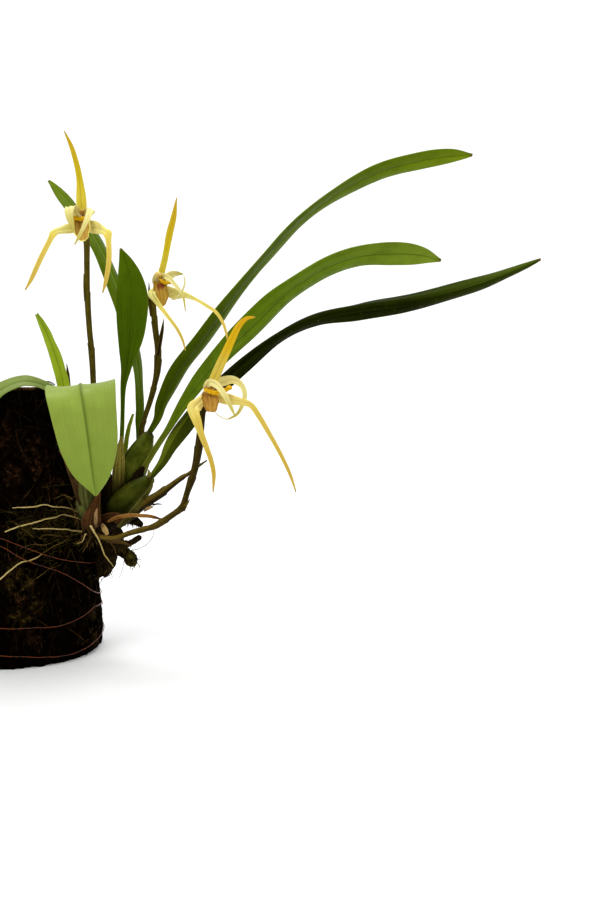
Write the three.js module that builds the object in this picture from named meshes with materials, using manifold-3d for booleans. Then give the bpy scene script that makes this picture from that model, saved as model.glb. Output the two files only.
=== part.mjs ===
// Potted maxillaria bradei: a flowering orchid tied to an upright log of tree-fern fibre.
// Millimetres, +Z up, front towards -Y. The log stands on its sawn base at Z = 0 and its
// axis is the Z axis; the plant grows on the right-hand side of the log and arches to +X.

import * as THREE from 'three';
import { mergeVertices } from 'three/addons/utils/BufferGeometryUtils.js';
import Module from 'manifold-3d';

const wasm = await Module();
wasm.setup();

// Driving dimensions.
const LOG_RADIUS = 41.5;
const LOG_RELIEF = 0.35;
const LOG_HEIGHT = 131.5;
const LOG_SIDES = 44;
const LOG_ROWS = 15;
const SEAT_GAP = 0.3;
const WIRE_RADIUS = 0.45;
const WIRE_ORBIT = LOG_RADIUS + LOG_RELIEF + SEAT_GAP + WIRE_RADIUS;
const WIRE_STEPS = 46;
const ROOT_RADIUS = 0.8;
const ROOT_ORBIT = LOG_RADIUS + LOG_RELIEF + ROOT_RADIUS;
const BLADE_THICKNESS = 0.95;
const BLADE_MARGIN = 0.7;
const PETAL_THICKNESS = 0.85;
const PETAL_MARGIN = 0.65;

// Finishes: colour, roughness, metalness.
const PAINT = {
  fibre: [0x1f1510, 0.95, 0],
  copper: [0x96603a, 0.35, 0.9],
  root: [0x8d7c58, 0.85, 0],
  bulb: [0x56692a, 0.5, 0],
  blade: [0x3f5a17, 0.45, 0],
  bladePale: [0x8fa64f, 0.45, 0],
  shoot: [0x8fa630, 0.5, 0],
  husk: [0x6d4a25, 0.8, 0],
  straw: [0xb59a5c, 0.75, 0],
  scape: [0x4f4220, 0.6, 0],
  sepal: [0xd2b545, 0.55, 0],
  sepalDeep: [0xdba921, 0.55, 0],
  petal: [0xe8dca0, 0.55, 0],
  lip: [0xa0713a, 0.5, 0],
  column: [0x8a4d1a, 0.5, 0],
};

const vec = (p) => new THREE.Vector3(p[0], p[1], p[2]);
const radians = (a) => THREE.MathUtils.degToRad(a);
const FRONT = [0, -1, 0];

// Closed body from a stack of rings with the same number of points.
function loft(rings, altered = new Set()) {
  const count = rings[0].length;
  const positions = [];
  const faces = [];
  rings.forEach((ring) => ring.forEach((p) => positions.push(p.x, p.y, p.z)));
  for (let i = 0; i + 1 < rings.length; i += 1) {
    for (let k = 0; k < count; k += 1) {
      const a = i * count + k;
      const b = i * count + ((k + 1) % count);
      const c = b + count;
      const d = a + count;
      if (altered.has(k)) faces.push(a, b, d, b, c, d);
      else faces.push(a, b, c, a, c, d);
    }
  }
  const ends = [[0, 1], [rings.length - 1, 0]];
  ends.forEach(([row, flip]) => {
    const middle = new THREE.Vector3();
    rings[row].forEach((p) => middle.addScaledVector(p, 1 / count));
    const centre = positions.length / 3;
    positions.push(middle.x, middle.y, middle.z);
    for (let k = 0; k < count; k += 1) {
      const a = row * count + k;
      const b = row * count + ((k + 1) % count);
      if (flip) faces.push(centre, b, a);
      else faces.push(centre, a, b);
    }
  });
  return outward(positions, faces);
}

// Geometry whose faces look outwards, whichever way round the rings were drawn.
function outward(positions, faces) {
  const corner = (i) => new THREE.Vector3().fromArray(positions, i * 3);
  let volume = 0;
  for (let i = 0; i < faces.length; i += 3) {
    const side = corner(faces[i + 1]).cross(corner(faces[i + 2]));
    volume += corner(faces[i]).dot(side);
  }
  const order = volume < 0 ? faces.slice().reverse() : faces;
  const geometry = new THREE.BufferGeometry();
  geometry.setAttribute('position', new THREE.Float32BufferAttribute(positions, 3));
  geometry.setIndex(order);
  return geometry;
}

// Folded blade. A row is x, y, z of the midrib, the width of one half, and how far each half
// turns out of the plane that faces the front: plus towards the viewer, minus away.
function blade(rows, options = {}) {
  const { steps = 2, thick = BLADE_THICKNESS, margin = BLADE_MARGIN, across = null } = options;
  const fronts = options.fronts ?? [options.front ?? FRONT];
  const spine = new THREE.CatmullRomCurve3(rows.map(vec), false, 'catmullrom', 0.5);
  const section = new THREE.CatmullRomCurve3(
    rows.map((r) => new THREE.Vector3(r[3], r[4], r[5])), false, 'catmullrom', 0.5);
  const total = (rows.length - 1) * steps;
  return (grow) => {
    const rings = [];
    for (let i = 0; i <= total; i += 1) {
      const t = i / total;
      const at = spine.getPoint(t);
      const along = spine.getTangent(t);
      const shape = section.getPoint(t);
      const half = Math.max(shape.x, 0.45) + grow;
      const facing = frontAt(fronts, t);
      const right = across
        ? vec(across).addScaledVector(along, -vec(across).dot(along)).normalize()
        : along.clone().cross(facing).normalize();
      const out = right.clone().cross(along).normalize();
      if (grow > 0 && (i === 0 || i === total)) {
        at.addScaledVector(along, i === 0 ? -grow : grow);
      }
      rings.push(bladeRing(at, along, right, out, half, shape.y, shape.z,
        thick / 2 + grow, margin / 2 + grow));
    }
    return loft(rings, new Set([3, 4]));
  };
}

function frontAt(fronts, t) {
  const place = t * (fronts.length - 1);
  const i = Math.min(Math.floor(place), Math.max(fronts.length - 2, 0));
  const next = fronts[Math.min(i + 1, fronts.length - 1)];
  return vec(fronts[i]).lerp(vec(next), place - i).normalize();
}

function bladeRing(at, along, right, out, half, turnLeft, turnRight, middle, edge) {
  const left = right.clone().multiplyScalar(-Math.cos(radians(turnLeft)))
    .addScaledVector(out, Math.sin(radians(turnLeft)));
  const wing = right.clone().multiplyScalar(Math.cos(radians(turnRight)))
    .addScaledVector(out, Math.sin(radians(turnRight)));
  const leftFace = along.clone().cross(left);
  const rightFace = wing.clone().cross(along);
  const ridge = leftFace.clone().add(rightFace).normalize();
  const reach = middle / Math.max(ridge.dot(leftFace), 0.5);
  const shift = (base, direction, length) => base.clone().addScaledVector(direction, length);
  const leftEdge = shift(at, left, half);
  const rightEdge = shift(at, wing, half);
  return [
    shift(leftEdge, leftFace, edge),
    shift(at, ridge, reach),
    shift(rightEdge, rightFace, edge),
    shift(rightEdge, rightFace, -edge),
    shift(at, ridge, -reach),
    shift(leftEdge, leftFace, -edge),
  ];
}

// Round stem along a smooth path. A row is x, y, z and the radius there.
function stem(rows, options = {}) {
  const { steps = 2, sides = 8, flat = 1 } = options;
  const path = new THREE.CatmullRomCurve3(rows.map(vec), false, 'catmullrom', 0.5);
  const girth = new THREE.CatmullRomCurve3(
    rows.map((r) => new THREE.Vector3(r[3], 0, 0)), false, 'catmullrom', 0.5);
  const total = (rows.length - 1) * steps;
  return (grow) => {
    const rings = [];
    let side = null;
    for (let i = 0; i <= total; i += 1) {
      const at = path.getPoint(i / total);
      const along = path.getTangent(i / total);
      const radius = Math.max(girth.getPoint(i / total).x, 0.3) + grow;
      if (!side) side = along.clone().cross(Math.abs(along.z) < 0.9 ? vec([0, 0, 1]) : vec([1, 0, 0]));
      side.addScaledVector(along, -side.dot(along)).normalize();
      const third = along.clone().cross(side);
      if (grow > 0 && (i === 0 || i === total)) at.addScaledVector(along, i === 0 ? -grow : grow);
      rings.push(Array.from({ length: sides }, (_, k) => {
        const a = (k / sides) * Math.PI * 2;
        return at.clone().addScaledVector(side, Math.cos(a) * radius)
          .addScaledVector(third, Math.sin(a) * radius * flat);
      }));
    }
    return loft(rings);
  };
}

// Flattened pseudobulb from base to apex, widest below the middle.
const BULB_PROFILE = [[-0.06, 0.3], [0, 0.6], [0.12, 0.86], [0.3, 1], [0.5, 0.98], [0.7, 0.82],
  [0.86, 0.58], [0.97, 0.34], [1, 0.22]];

function bulb(base, apex, halfWidth, halfDepth, sides = 12) {
  const axis = vec(apex).sub(vec(base));
  const along = axis.clone().normalize();
  const side = along.clone().cross(vec(FRONT)).normalize();
  const depth = side.clone().cross(along);
  return (grow) => loft(BULB_PROFILE.map(([t, r], row) => {
    const at = vec(base).addScaledVector(axis, t);
    if (row === 0) at.addScaledVector(along, -grow);
    if (row === BULB_PROFILE.length - 1) at.addScaledVector(along, grow);
    return Array.from({ length: sides }, (_, k) => {
      const a = ((k + 0.5) / sides) * Math.PI * 2;
      return at.clone().addScaledVector(side, Math.cos(a) * (halfWidth * r + grow))
        .addScaledVector(depth, Math.sin(a) * (halfDepth * r + grow));
    });
  }));
}

// Papery sheath: a shell open on one side. A row is x, y, z of its axis, the inner radius
// and half of the angle it wraps.
function sheath(rows, facing, thick = 0.7, arcs = 5) {
  const curve = new THREE.CatmullRomCurve3(rows.map(vec), false, 'catmullrom', 0.5);
  const wrap = new THREE.CatmullRomCurve3(
    rows.map((r) => new THREE.Vector3(r[3], r[4], 0)), false, 'catmullrom', 0.5);
  const total = (rows.length - 1) * 2;
  return (grow) => {
    const rings = [];
    for (let i = 0; i <= total; i += 1) {
      const at = curve.getPoint(i / total);
      const along = curve.getTangent(i / total);
      const shape = wrap.getPoint(i / total);
      const open = vec(facing).addScaledVector(along, -vec(facing).dot(along)).normalize();
      const side = along.clone().cross(open);
      const reach = radians(Math.max(shape.y, 6)) + grow / shape.x;
      const point = (f, radius) => at.clone()
        .addScaledVector(open, Math.cos(f * reach) * radius)
        .addScaledVector(side, Math.sin(f * reach) * radius);
      const ring = [];
      for (let k = 0; k <= arcs; k += 1) ring.push(point(k / arcs * 2 - 1, shape.x - grow));
      for (let k = arcs; k >= 0; k -= 1) ring.push(point(k / arcs * 2 - 1, shape.x + thick + grow));
      rings.push(ring);
    }
    return loft(rings);
  };
}

// Fibre log: two sawn ends and a slightly lumpy bark of matted fibres.
function logRelief(azimuth, z) {
  return LOG_RELIEF * (0.5 * Math.sin(5 * azimuth + 0.045 * z)
    + 0.3 * Math.sin(9 * azimuth - 0.09 * z + 1.3)
    + 0.2 * Math.sin(3 * azimuth + 0.16 * z + 2.1));
}

function fibreLog(grow) {
  const rings = [];
  for (let j = 0; j <= LOG_ROWS; j += 1) {
    const f = j / LOG_ROWS;
    const chamfer = j === 0 || j === LOG_ROWS ? 0.9 : 0;
    let z = 1 + (LOG_HEIGHT - 2) * ((j - 1) / (LOG_ROWS - 2));
    if (j === 0) z = -grow;
    if (j === LOG_ROWS) z = LOG_HEIGHT + grow;
    rings.push(Array.from({ length: LOG_SIDES }, (_, k) => {
      const a = (k / LOG_SIDES) * Math.PI * 2;
      const radius = LOG_RADIUS + logRelief(a, f * LOG_HEIGHT) - chamfer + grow;
      return new THREE.Vector3(radius * Math.cos(a), radius * Math.sin(a), z);
    }));
  }
  return loft(rings);
}

// Height of a wire turn at an azimuth, from the turn's own list of azimuth and height.
function turnHeight(turn, azimuth) {
  const n = turn.length;
  let i = 0;
  while (i < n - 1 && turn[i + 1][0] <= azimuth) i += 1;
  const lap = (k) => [turn[((k % n) + n) % n][0] + 360 * Math.floor(k / n), turn[((k % n) + n) % n][1]];
  const [p0, p1, p2, p3] = [lap(i - 1), lap(i), lap(i + 1), lap(i + 2)];
  const u = (azimuth - p1[0]) / (p2[0] - p1[0]);
  const slope = (a, b) => (b[1] - a[1]) / (b[0] - a[0]) * (p2[0] - p1[0]);
  const m1 = slope(p0, p2);
  const m2 = slope(p1, p3);
  const u2 = u * u;
  const u3 = u2 * u;
  return (2 * u3 - 3 * u2 + 1) * p1[1] + (u3 - 2 * u2 + u) * m1
    + (3 * u2 - 2 * u3) * p2[1] + (u3 - u2) * m2;
}

// Copper tie wire: one closed turn round the log, lifted where it passes over a root.
function tieWire(turn, lifts = [], sides = 5) {
  const start = turn[0][0];
  const orbit = (azimuth) => WIRE_ORBIT + lifts.reduce((sum, [place, height, spread]) => {
    const off = (azimuth - place) / spread;
    return sum + height * Math.exp(-off * off);
  }, 0);
  const point = (azimuth) => {
    const lapped = start + ((((azimuth - start) % 360) + 360) % 360);
    const a = radians(lapped);
    return new THREE.Vector3(orbit(lapped) * Math.cos(a), orbit(lapped) * Math.sin(a),
      turnHeight(turn, lapped));
  };
  return (grow) => {
    const positions = [];
    const faces = [];
    for (let i = 0; i < WIRE_STEPS; i += 1) {
      const azimuth = start + (i / WIRE_STEPS) * 360;
      const at = point(azimuth);
      const along = point(azimuth + 0.5).sub(point(azimuth - 0.5)).normalize();
      const side = along.clone().cross(vec([0, 0, 1])).normalize();
      const third = along.clone().cross(side);
      for (let k = 0; k < sides; k += 1) {
        const a = (k / sides) * Math.PI * 2;
        const p = at.clone().addScaledVector(side, Math.cos(a) * (WIRE_RADIUS + grow))
          .addScaledVector(third, Math.sin(a) * (WIRE_RADIUS + grow));
        positions.push(p.x, p.y, p.z);
        const b = i * sides + ((k + 1) % sides);
        const next = ((i + 1) % WIRE_STEPS) * sides;
        faces.push(i * sides + k, b, next + ((k + 1) % sides));
        faces.push(i * sides + k, next + ((k + 1) % sides), next + k);
      }
    }
    return outward(positions, faces);
  };
}

// Solid bodies, for joins and cuts.
function solid(geometry) {
  const merged = mergeVertices(geometry, 1e-5);
  const body = new wasm.Manifold(new wasm.Mesh({
    numProp: 3,
    vertProperties: new Float32Array(merged.attributes.position.array),
    triVerts: new Uint32Array(merged.index.array),
  }));
  return body;
}

function fromSolid(body) {
  const mesh = body.getMesh();
  const geometry = new THREE.BufferGeometry();
  geometry.setAttribute('position', new THREE.BufferAttribute(new Float32Array(mesh.vertProperties), 3));
  geometry.setIndex(new THREE.BufferAttribute(new Uint32Array(mesh.triVerts), 1));
  return geometry;
}

const joined = (makers) => (grow) => makers.map((make) => solid(make(grow)))
  .reduce((sum, body) => sum.add(body));

const largest = (body) => body.decompose().sort((a, b) => b.volume() - a.volume())[0];

// A root lying on the bark: azimuth and height pairs, then free points off the log.
const bark = (pairs, orbit = ROOT_ORBIT, radius = ROOT_RADIUS) => pairs.map(([azimuth, z, r]) => [
  orbit * Math.cos(radians(azimuth)), orbit * Math.sin(radians(azimuth)), z, r ?? radius]);

const petalOptions = { steps: 2, thick: PETAL_THICKNESS, margin: PETAL_MARGIN };
const petal = (rows, options = {}) => blade(rows, { ...petalOptions, ...options });

// Every piece in the order in which it is seated: a later piece gives way to an earlier one.
const pieces = [];
const piece = (name, paint, make) => pieces.push({ name, paint, make });

piece('fibre_log', 'fibre', fibreLog);

piece('tie_wire_top', 'copper', tieWire([
  [-84, 62.3], [-66, 56.3], [-47, 50.5], [-24, 46.3], [-5, 44.4], [30, 46], [75, 53], [120, 62],
  [165, 68], [205, 70.5], [240, 69.5], [260, 66]], [[-58, 2, 6]]));
piece('tie_wire_upper', 'copper', tieWire([
  [-84, 58.3], [-72, 53], [-60, 48.6], [-47, 44.6], [-32, 38], [-11, 29.5], [20, 26], [65, 29],
  [115, 38], [165, 49], [210, 58], [245, 62]], [[-68, 2, 6]]));
piece('tie_wire_lower', 'copper', tieWire([
  [-85, 20], [-67, 19.4], [-47, 18.5], [-30, 20.3], [-13, 22.6], [20, 20.5], [65, 18.5],
  [115, 20], [165, 24], [205, 25], [240, 23]]));
piece('tie_wire_bottom', 'copper', tieWire([
  [-76, 6.6], [-60, 4.9], [-44, 3.7], [-27, 4.2], [-5, 6.8], [30, 9], [75, 10], [120, 11],
  [165, 11], [205, 10], [240, 8.6]]));

piece('pseudobulb_front', 'bulb', bulb([42.7, -31, 69.2], [42.5, -33, 88.4], 4.7, 4.2));
piece('pseudobulb_upper', 'bulb', bulb([56.1, -11, 81], [68.4, -11, 109.4], 6.7, 4.6));
piece('pseudobulb_lower', 'bulb', bulb([51.3, -22, 71.7], [72, -24, 89], 5.4, 4.5));
piece('pseudobulb_rear', 'bulb', bulb([53.5, 7, 80.6], [60.2, 9, 102], 5.2, 4.2));
piece('pseudobulb_inner', 'bulb', bulb([42.6, -20.6, 71], [41, -22, 92], 3.9, 3.7));

piece('rhizome_with_roots', 'root', joined([
  stem([[41, -33, 65.5, 2.6], [45, -31, 65, 3.6], [48.6, -26.5, 65.5, 3.8], [52, -20, 67.3, 3.8],
    [54.2, -13.5, 74.5, 3.5], [55.3, -5, 77.8, 3.3], [54, 6, 77, 3]]),
  stem([[50, -16, 67, 4], [52, -14, 58.5, 4.2], [54.6, -13.6, 53, 3.8], [57.6, -14, 49.4, 3],
    [61.4, -14, 46.6, 2.7]]),
  stem([[48, -22, 66, 3.6], [43, -20, 60.5, 3.8], [38.5, -18.5, 58, 3.2]]),
  stem([[52, -12, 72, 3.4], [46.5, -9, 67, 3.8], [40.5, -7.5, 63.5, 3]]),
  stem([[49, -14, 62, 4], [49.4, -11.5, 54, 4.4], [48.4, -9.5, 47.5, 3.6], [46.8, -8.6, 41, 2.4],
    [45.2, -8, 36.8, 1.2]]),
  stem([[47, -29, 63.5, 1.8], [54.5, -29, 59.2, 1.7], [60.5, -28, 57.2, 1.4], [67, -26, 60.6, 1.2]],
    { sides: 6 }),
  stem([[43.8, -32, 66.6, 1.4], [45.6, -35, 64.6, 0.8], [48, -33, 59.9, 0.7], [49.8, -28, 53, 0.7],
    [51.2, -25, 49, 0.7], [52.4, -22, 45.5, 0.5]], { sides: 6 }),
  stem([...bark([[-76, 76.2, 0.6], [-66, 76.1], [-57, 76.8], [-50, 75.5], [-43, 74.8], [-36, 73.2]]),
    [38.6, -26, 70.6, 1], [42, -28.4, 68, 1.2], [46, -28, 66, 1.4]], { sides: 6, steps: 1 }),
  stem([...bark([[-81, 65.2, 0.6], [-72, 67.2], [-62, 69], [-50, 70.4], [-42, 71]]),
    [39.6, -25, 68, 1], [46, -25.5, 66, 1.4]], { sides: 6, steps: 1 }),
  stem([...bark([[-64, 66, 0.5], [-56.7, 65.6], [-43.5, 64.4], [-36, 63]]),
    [40.5, -22, 62, 1], [44, -21, 62.5, 1.2]], { sides: 6, steps: 1 }),
  stem([...bark([[-87, 41.6, 0.6], [-79, 46.6], [-72, 50.2], [-64, 51.6], [-57, 54.4], [-50.5, 56.7],
    [-43, 58.8], [-34, 61]]), [42, -20, 62, 1.1]], { sides: 6, steps: 1 }),
  stem([...bark([[-36, 57, 0.7], [-31, 57.4], [-27.5, 59.6]]), [42, -21, 62, 1]], { sides: 6 }),
  stem([...bark([[-31, 52.8, 0.6], [-26.5, 54.6], [-22, 58]]), [42, -17, 61, 1]], { sides: 6 }),
]));

piece('scape_left', 'scape', stem([[46.6, -25, 70.4, 1.2], [45.8, -24, 87.3, 1.2],
  [45.1, -24, 111.2, 1.15], [44.5, -24, 134.9, 1.1], [44, -24, 149, 1.25], [43.2, -24, 158.4, 1.2],
  [42.5, -24, 172.4, 1.4], [42.4, -24, 186.4, 1.5], [42.5, -24, 198.9, 1.4], [41.6, -23, 206, 1.4],
  [40.7, -21.6, 209.6, 1.2]]));
piece('scape_middle', 'scape', joined([
  stem([[57, -3, 80.2, 1.5], [62.4, -1, 90, 1.5], [63.5, -2, 109.1, 1.4], [65, -3, 115.1, 1.3],
    [68.5, -4, 125.1, 1.4], [70.5, -4, 132.5, 1.5], [71.8, -4, 139.9, 1.5], [72.4, -4, 149.7, 1.5],
    [71.7, -5, 157, 1.3], [70.8, -5, 166.8, 1.6], [70.6, -5, 175.6, 1.4], [72.4, -6.4, 181.2, 1.2]]),
  stem([[71.4, -4.6, 143, 1.2], [73.4, -6, 152.4, 1], [75.2, -8, 159.3, 0.7], [76, -9, 164.2, 0.3]],
    { sides: 6 }),
  stem([[70.2, -5, 168, 1.2], [68.9, -6, 175, 0.9], [68.8, -6.6, 182.4, 0.3]], { sides: 6 }),
]));
piece('scape_right', 'scape', joined([
  stem([[46.4, -31.6, 62.4, 1.2], [49.4, -33.2, 61.3, 1.2], [56.3, -36, 61.3, 1.2],
    [63.6, -38, 64, 1.25], [71, -40, 66.2, 1.3], [75.7, -41, 67.7, 1.7], [80.5, -42, 70.7, 1.7],
    [85.3, -43, 74, 1.5], [89, -43, 77.3, 1.5], [91, -43, 83.7, 1.4], [93.2, -43, 90.1, 1.9],
    [94.6, -43, 96.1, 1.5], [96, -43, 102.9, 1.7], [96.9, -42, 112, 1.2],
    [98.2, -41, 120.2, 1], [99.5, -40.5, 127.4, 1.1]]),
  stem([[87, -43, 74.5, 1], [89.8, -44, 77.5, 0.8], [92, -45, 80.2, 0.3]], { sides: 6 }),
]));
piece('young_spike', 'scape', stem([[56.5, -28.5, 66, 1.3], [59.4, -28.5, 69, 1.8],
  [62.9, -29.5, 72.5, 2], [67.9, -31, 76.9, 2.3], [71.8, -31.5, 79.9, 2.3], [76.6, -31.5, 82.7, 1.9],
  [81.4, -31.5, 85.6, 1.6], [86.2, -31.5, 88.5, 1.3], [89.9, -31.5, 90.8, 0.9],
  [94.7, -31.5, 94.4, 0.8], [98.9, -31.5, 97.4, 0.35]]));

// Leaves: the row is x, y, z, half width, turn of the left half, turn of the right half.
piece('leaf_front', 'bladePale', blade([
  [43, -33.4, 88.9, 2, -45, -45], [43.7, -38.5, 97, 3.5, -40, -40], [45, -47, 108, 7, -28, -28],
  [47.3, -60, 121, 10.5, -16, -16], [50, -73, 129.8, 13, -8, -8], [52.4, -84, 132.5, 14, -2, -2],
  [54.4, -92, 130.6, 14, -5, -5], [56.6, -97.5, 125.2, 13.6, -9, -9],
  [58.4, -100, 116.7, 12.8, -12, -12], [59.8, -101.5, 107.2, 11.3, -14, -14],
  [60.8, -101.5, 97.5, 7.6, -14, -14], [61.5, -100, 88.8, 0.6, -10, -10]],
{ across: [0.995, 0, 0.1] }));
piece('leaf_high', 'blade', blade([
  [68.9, -11, 109.7, 1.7, -48, -48], [72.6, -10.5, 115.6, 2.2, -30, -50],
  [76.3, -10, 124.8, 4, 15, -70], [84.3, -9, 138.6, 6.5, 37, -80], [94.9, -7.5, 153, 7.5, 43, -82],
  [108.8, -4, 173.2, 7.8, 60, -84], [124.8, 0, 193.6, 7.8, 72, -85], [142.8, 4, 213.5, 7.5, 78, -84],
  [162.7, 8, 228.7, 7.5, 71, -79], [183, 12, 239.3, 7, 63, -73], [203.5, 16, 245.8, 6, 53, -62],
  [219.1, 19, 248.9, 4.5, 52, -58], [230.9, 21, 250.1, 0.6, 45, -45]]));
piece('leaf_middle', 'blade', blade([
  [58.4, -15.6, 79.8, 1.4, -45, -45], [61.2, -16, 84.5, 1.5, -48, -48],
  [65.8, -16.8, 90.6, 1.7, -48, -48], [72.5, -17.5, 101.7, 1.8, -45, -50],
  [79.9, -18, 112.3, 2, -30, -55], [88.2, -17.5, 125.3, 3.4, 15, -60],
  [97.3, -17, 136.8, 5.5, 31, -65], [109.8, -16, 150.2, 7.2, 30, -68],
  [123.2, -14.5, 162.8, 7.8, 15, -70], [137.7, -13, 177.2, 7.8, 48, -67],
  [154.6, -11, 188.3, 7.5, 55, -67], [171.7, -8, 194.6, 7.2, 50, -60],
  [188.9, -5.5, 196.3, 6.5, 36, -46], [201.4, -3, 196.2, 4.8, 42, -28],
  [212.1, -1, 193.8, 0.6, 30, -30]]));
piece('leaf_low', 'blade', blade([
  [72.3, -24, 89.3, 1.6, -45, -45], [76.6, -23, 95.6, 2.4, -38, -38], [80.7, -20.5, 103.8, 4, -43, -43],
  [86.6, -17.5, 113.8, 6, -56, -44], [96.5, -14, 127.2, 7.2, -74, -43],
  [113.3, -10.5, 144.2, 7.6, -83, -37], [132.7, -7, 157.9, 7.8, -84, -55],
  [152.4, -3, 166.7, 7.8, -74, -62], [172.4, 2, 171.5, 7.6, -78, -30],
  [192.9, 8, 173.8, 7.2, -60, -48], [213.9, 14, 177.8, 6.5, -42, -60],
  [235.4, 20, 184.2, 5.2, -35, -62], [252.9, 25, 191.2, 3.5, -42, -62],
  [268.9, 29, 198.4, 0.6, -40, -40]]));
piece('leaf_upright', 'blade', blade([
  [55.2, -17.4, 78.6, 1.4, 45, 45], [55.7, -18.6, 88, 1.4, 48, 48], [56.5, -20, 97, 1.3, 48, 48],
  [57.6, -22, 108.7, 1.3, 48, 48], [58.3, -23, 120.6, 1.3, 48, 48], [59.1, -24, 132.5, 1.8, 44, 44],
  [60.4, -25, 140.5, 3.2, 36, 36], [61.8, -26, 148.9, 5.4, 28, 28], [63, -26.5, 159.2, 7.4, 24, 24],
  [63.6, -26.5, 170.3, 8, 20, 20], [62.9, -26, 180.1, 7, 20, 20], [61, -25, 188.6, 4.4, 18, 18],
  [58.1, -24, 196.4, 0.6, 15, 15]]));
piece('leaf_rear', 'blade', blade([
  [60.3, 9, 102.4, 1.7, -42, -42], [60.4, 9.5, 112, 2.3, -20, -50], [60, 10.5, 122, 3.5, 30, -62],
  [58.4, 12.7, 140.5, 5.5, 52, -74], [54.6, 16.5, 160, 7, 58, -78], [47.5, 20, 182.5, 7.2, 58, -78],
  [38, 22.5, 204, 6.8, 56, -76], [27.3, 25, 219.5, 6, 52, -72], [18.5, 26.5, 231, 4, 45, -62],
  [11.6, 28, 238.7, 0.6, 40, -40]]));
piece('leaf_strap', 'bladePale', blade([
  [40.5, -25.9, 77.5, 1.6, 40, 40], [39.5, -29, 90, 1.9, 42, 42], [38.4, -33.5, 104, 2.3, 40, 40],
  [36.4, -37, 119, 2.8, 34, 34], [34.2, -38, 132.5, 3.2, 30, 30], [32.4, -37, 139.6, 3.2, 30, 30],
  [28.2, -34, 148.6, 2.9, 32, 32], [24.7, -31, 154.8, 2.5, 34, 34], [21.7, -28, 160.5, 1.9, 34, 34],
  [18.6, -25, 165.8, 0.6, 30, 30]]));
piece('leaf_draped', 'blade', blade([
  [41, -22.2, 92.5, 1.7, 42, 42], [39.4, -23.6, 104, 1.9, 38, 38], [36.4, -28.4, 116, 2.1, 32, 32],
  [31.8, -33.2, 125.6, 2.2, 24, 24], [25.4, -37.6, 131.8, 2.8, 14, 14], [16.3, -42, 133.8, 4.3, 10, 10],
  [7.3, -46.5, 129.6, 5.4, 10, 10], [-1, -50, 122, 5.6, 12, 12], [-7.5, -52.5, 112, 4.4, 14, 14],
  [-11, -54, 100.5, 0.6, 10, 10]],
{ fronts: [[0.88, -0.47, 0], [0.85, -0.52, 0], [0.8, -0.6, 0.1], [0.66, -0.7, 0.25],
  [0.35, -0.65, 0.65], [0, -0.5, 0.85], [-0.15, -0.6, 0.75], [-0.3, -0.85, 0.4],
  [-0.35, -0.92, 0.2], [-0.35, -0.93, 0.1]] }));
piece('young_shoot', 'shoot', blade([
  [53.8, -2.6, 80.4, 1.5, 42, 42], [53.6, -1.4, 87, 1.5, 42, 42],
  [54.4, -1, 95, 1.5, 42, 42], [55.6, 0, 104, 1.4, 42, 42], [56.6, 1, 110.5, 1.2, 40, 40],
  [57.6, 2, 114.5, 0.9, 36, 36], [58.6, 3, 118, 0.5, 30, 30]]));

piece('sheath_upright_leaf', 'straw', sheath([[55.4, -18.4, 82.5, 1.9, 95], [55.9, -19.4, 90, 1.9, 95],
  [56.5, -20.2, 97, 1.8, 85], [57.1, -21.2, 103, 1.7, 55], [57.7, -22, 108.5, 1.6, 16]], FRONT));
piece('sheath_front', 'husk', sheath([[43, -31.4, 65.4, 5.2, 62], [43, -31.4, 69, 5.4, 60],
  [43.4, -31.4, 73, 5.4, 46], [44.2, -31.4, 77, 5.3, 30], [45.2, -31.4, 80.5, 5.2, 16],
  [46.4, -31.4, 83.5, 5.1, 7]], [0.8, -0.6, 0]));
piece('sheath_left', 'husk', blade([[40.2, -36.4, 77, 1.6, -20, 30], [38.6, -37.4, 85.6, 2.1, -20, 30],
  [36.6, -38.6, 94, 1.7, -15, 25], [34.2, -39.4, 99.8, 1.1, -10, 20], [31.6, -39.6, 102.6, 0.5, 0, 0]]));
piece('sheath_old', 'husk', sheath([[50, -15, 69.5, 4.6, 80], [50.3, -15.2, 77, 4.8, 78],
  [50.8, -15.6, 83, 4.6, 60], [51.2, -16, 88, 4.3, 34], [51.6, -16.4, 92, 4.1, 8]], [-0.25, -1, 0]));
piece('sheath_middle_leaf', 'husk', sheath([[57.4, -16, 77, 2.6, 100], [60.5, -16.6, 82.5, 2.6, 100],
  [64, -17.2, 88, 2.4, 80], [67.5, -17.6, 93.5, 2.2, 30]], FRONT));
piece('bract_lower', 'husk', blade([[49.8, -30, 69.8, 1.6, 20, -30], [54.9, -30.5, 70.3, 2.6, 20, -35],
  [58, -30.6, 69.8, 2.2, 20, -30], [61.4, -30.2, 68.8, 0.5, 0, 0]]));
piece('bract_dry', 'straw', blade([[47.6, -33.2, 67.6, 1.2, 30, -40],
  [50.8, -34.6, 69.4, 1.3, 30, -40], [56.2, -35.6, 70.7, 1.7, 25, -40],
  [62, -36.4, 71.8, 1.6, 25, -40], [68.2, -37, 72.1, 1.4, 20, -35], [73.8, -37, 71.5, 1, 15, -25],
  [78.4, -37, 70.4, 0.5, 0, 0]]));

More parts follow.
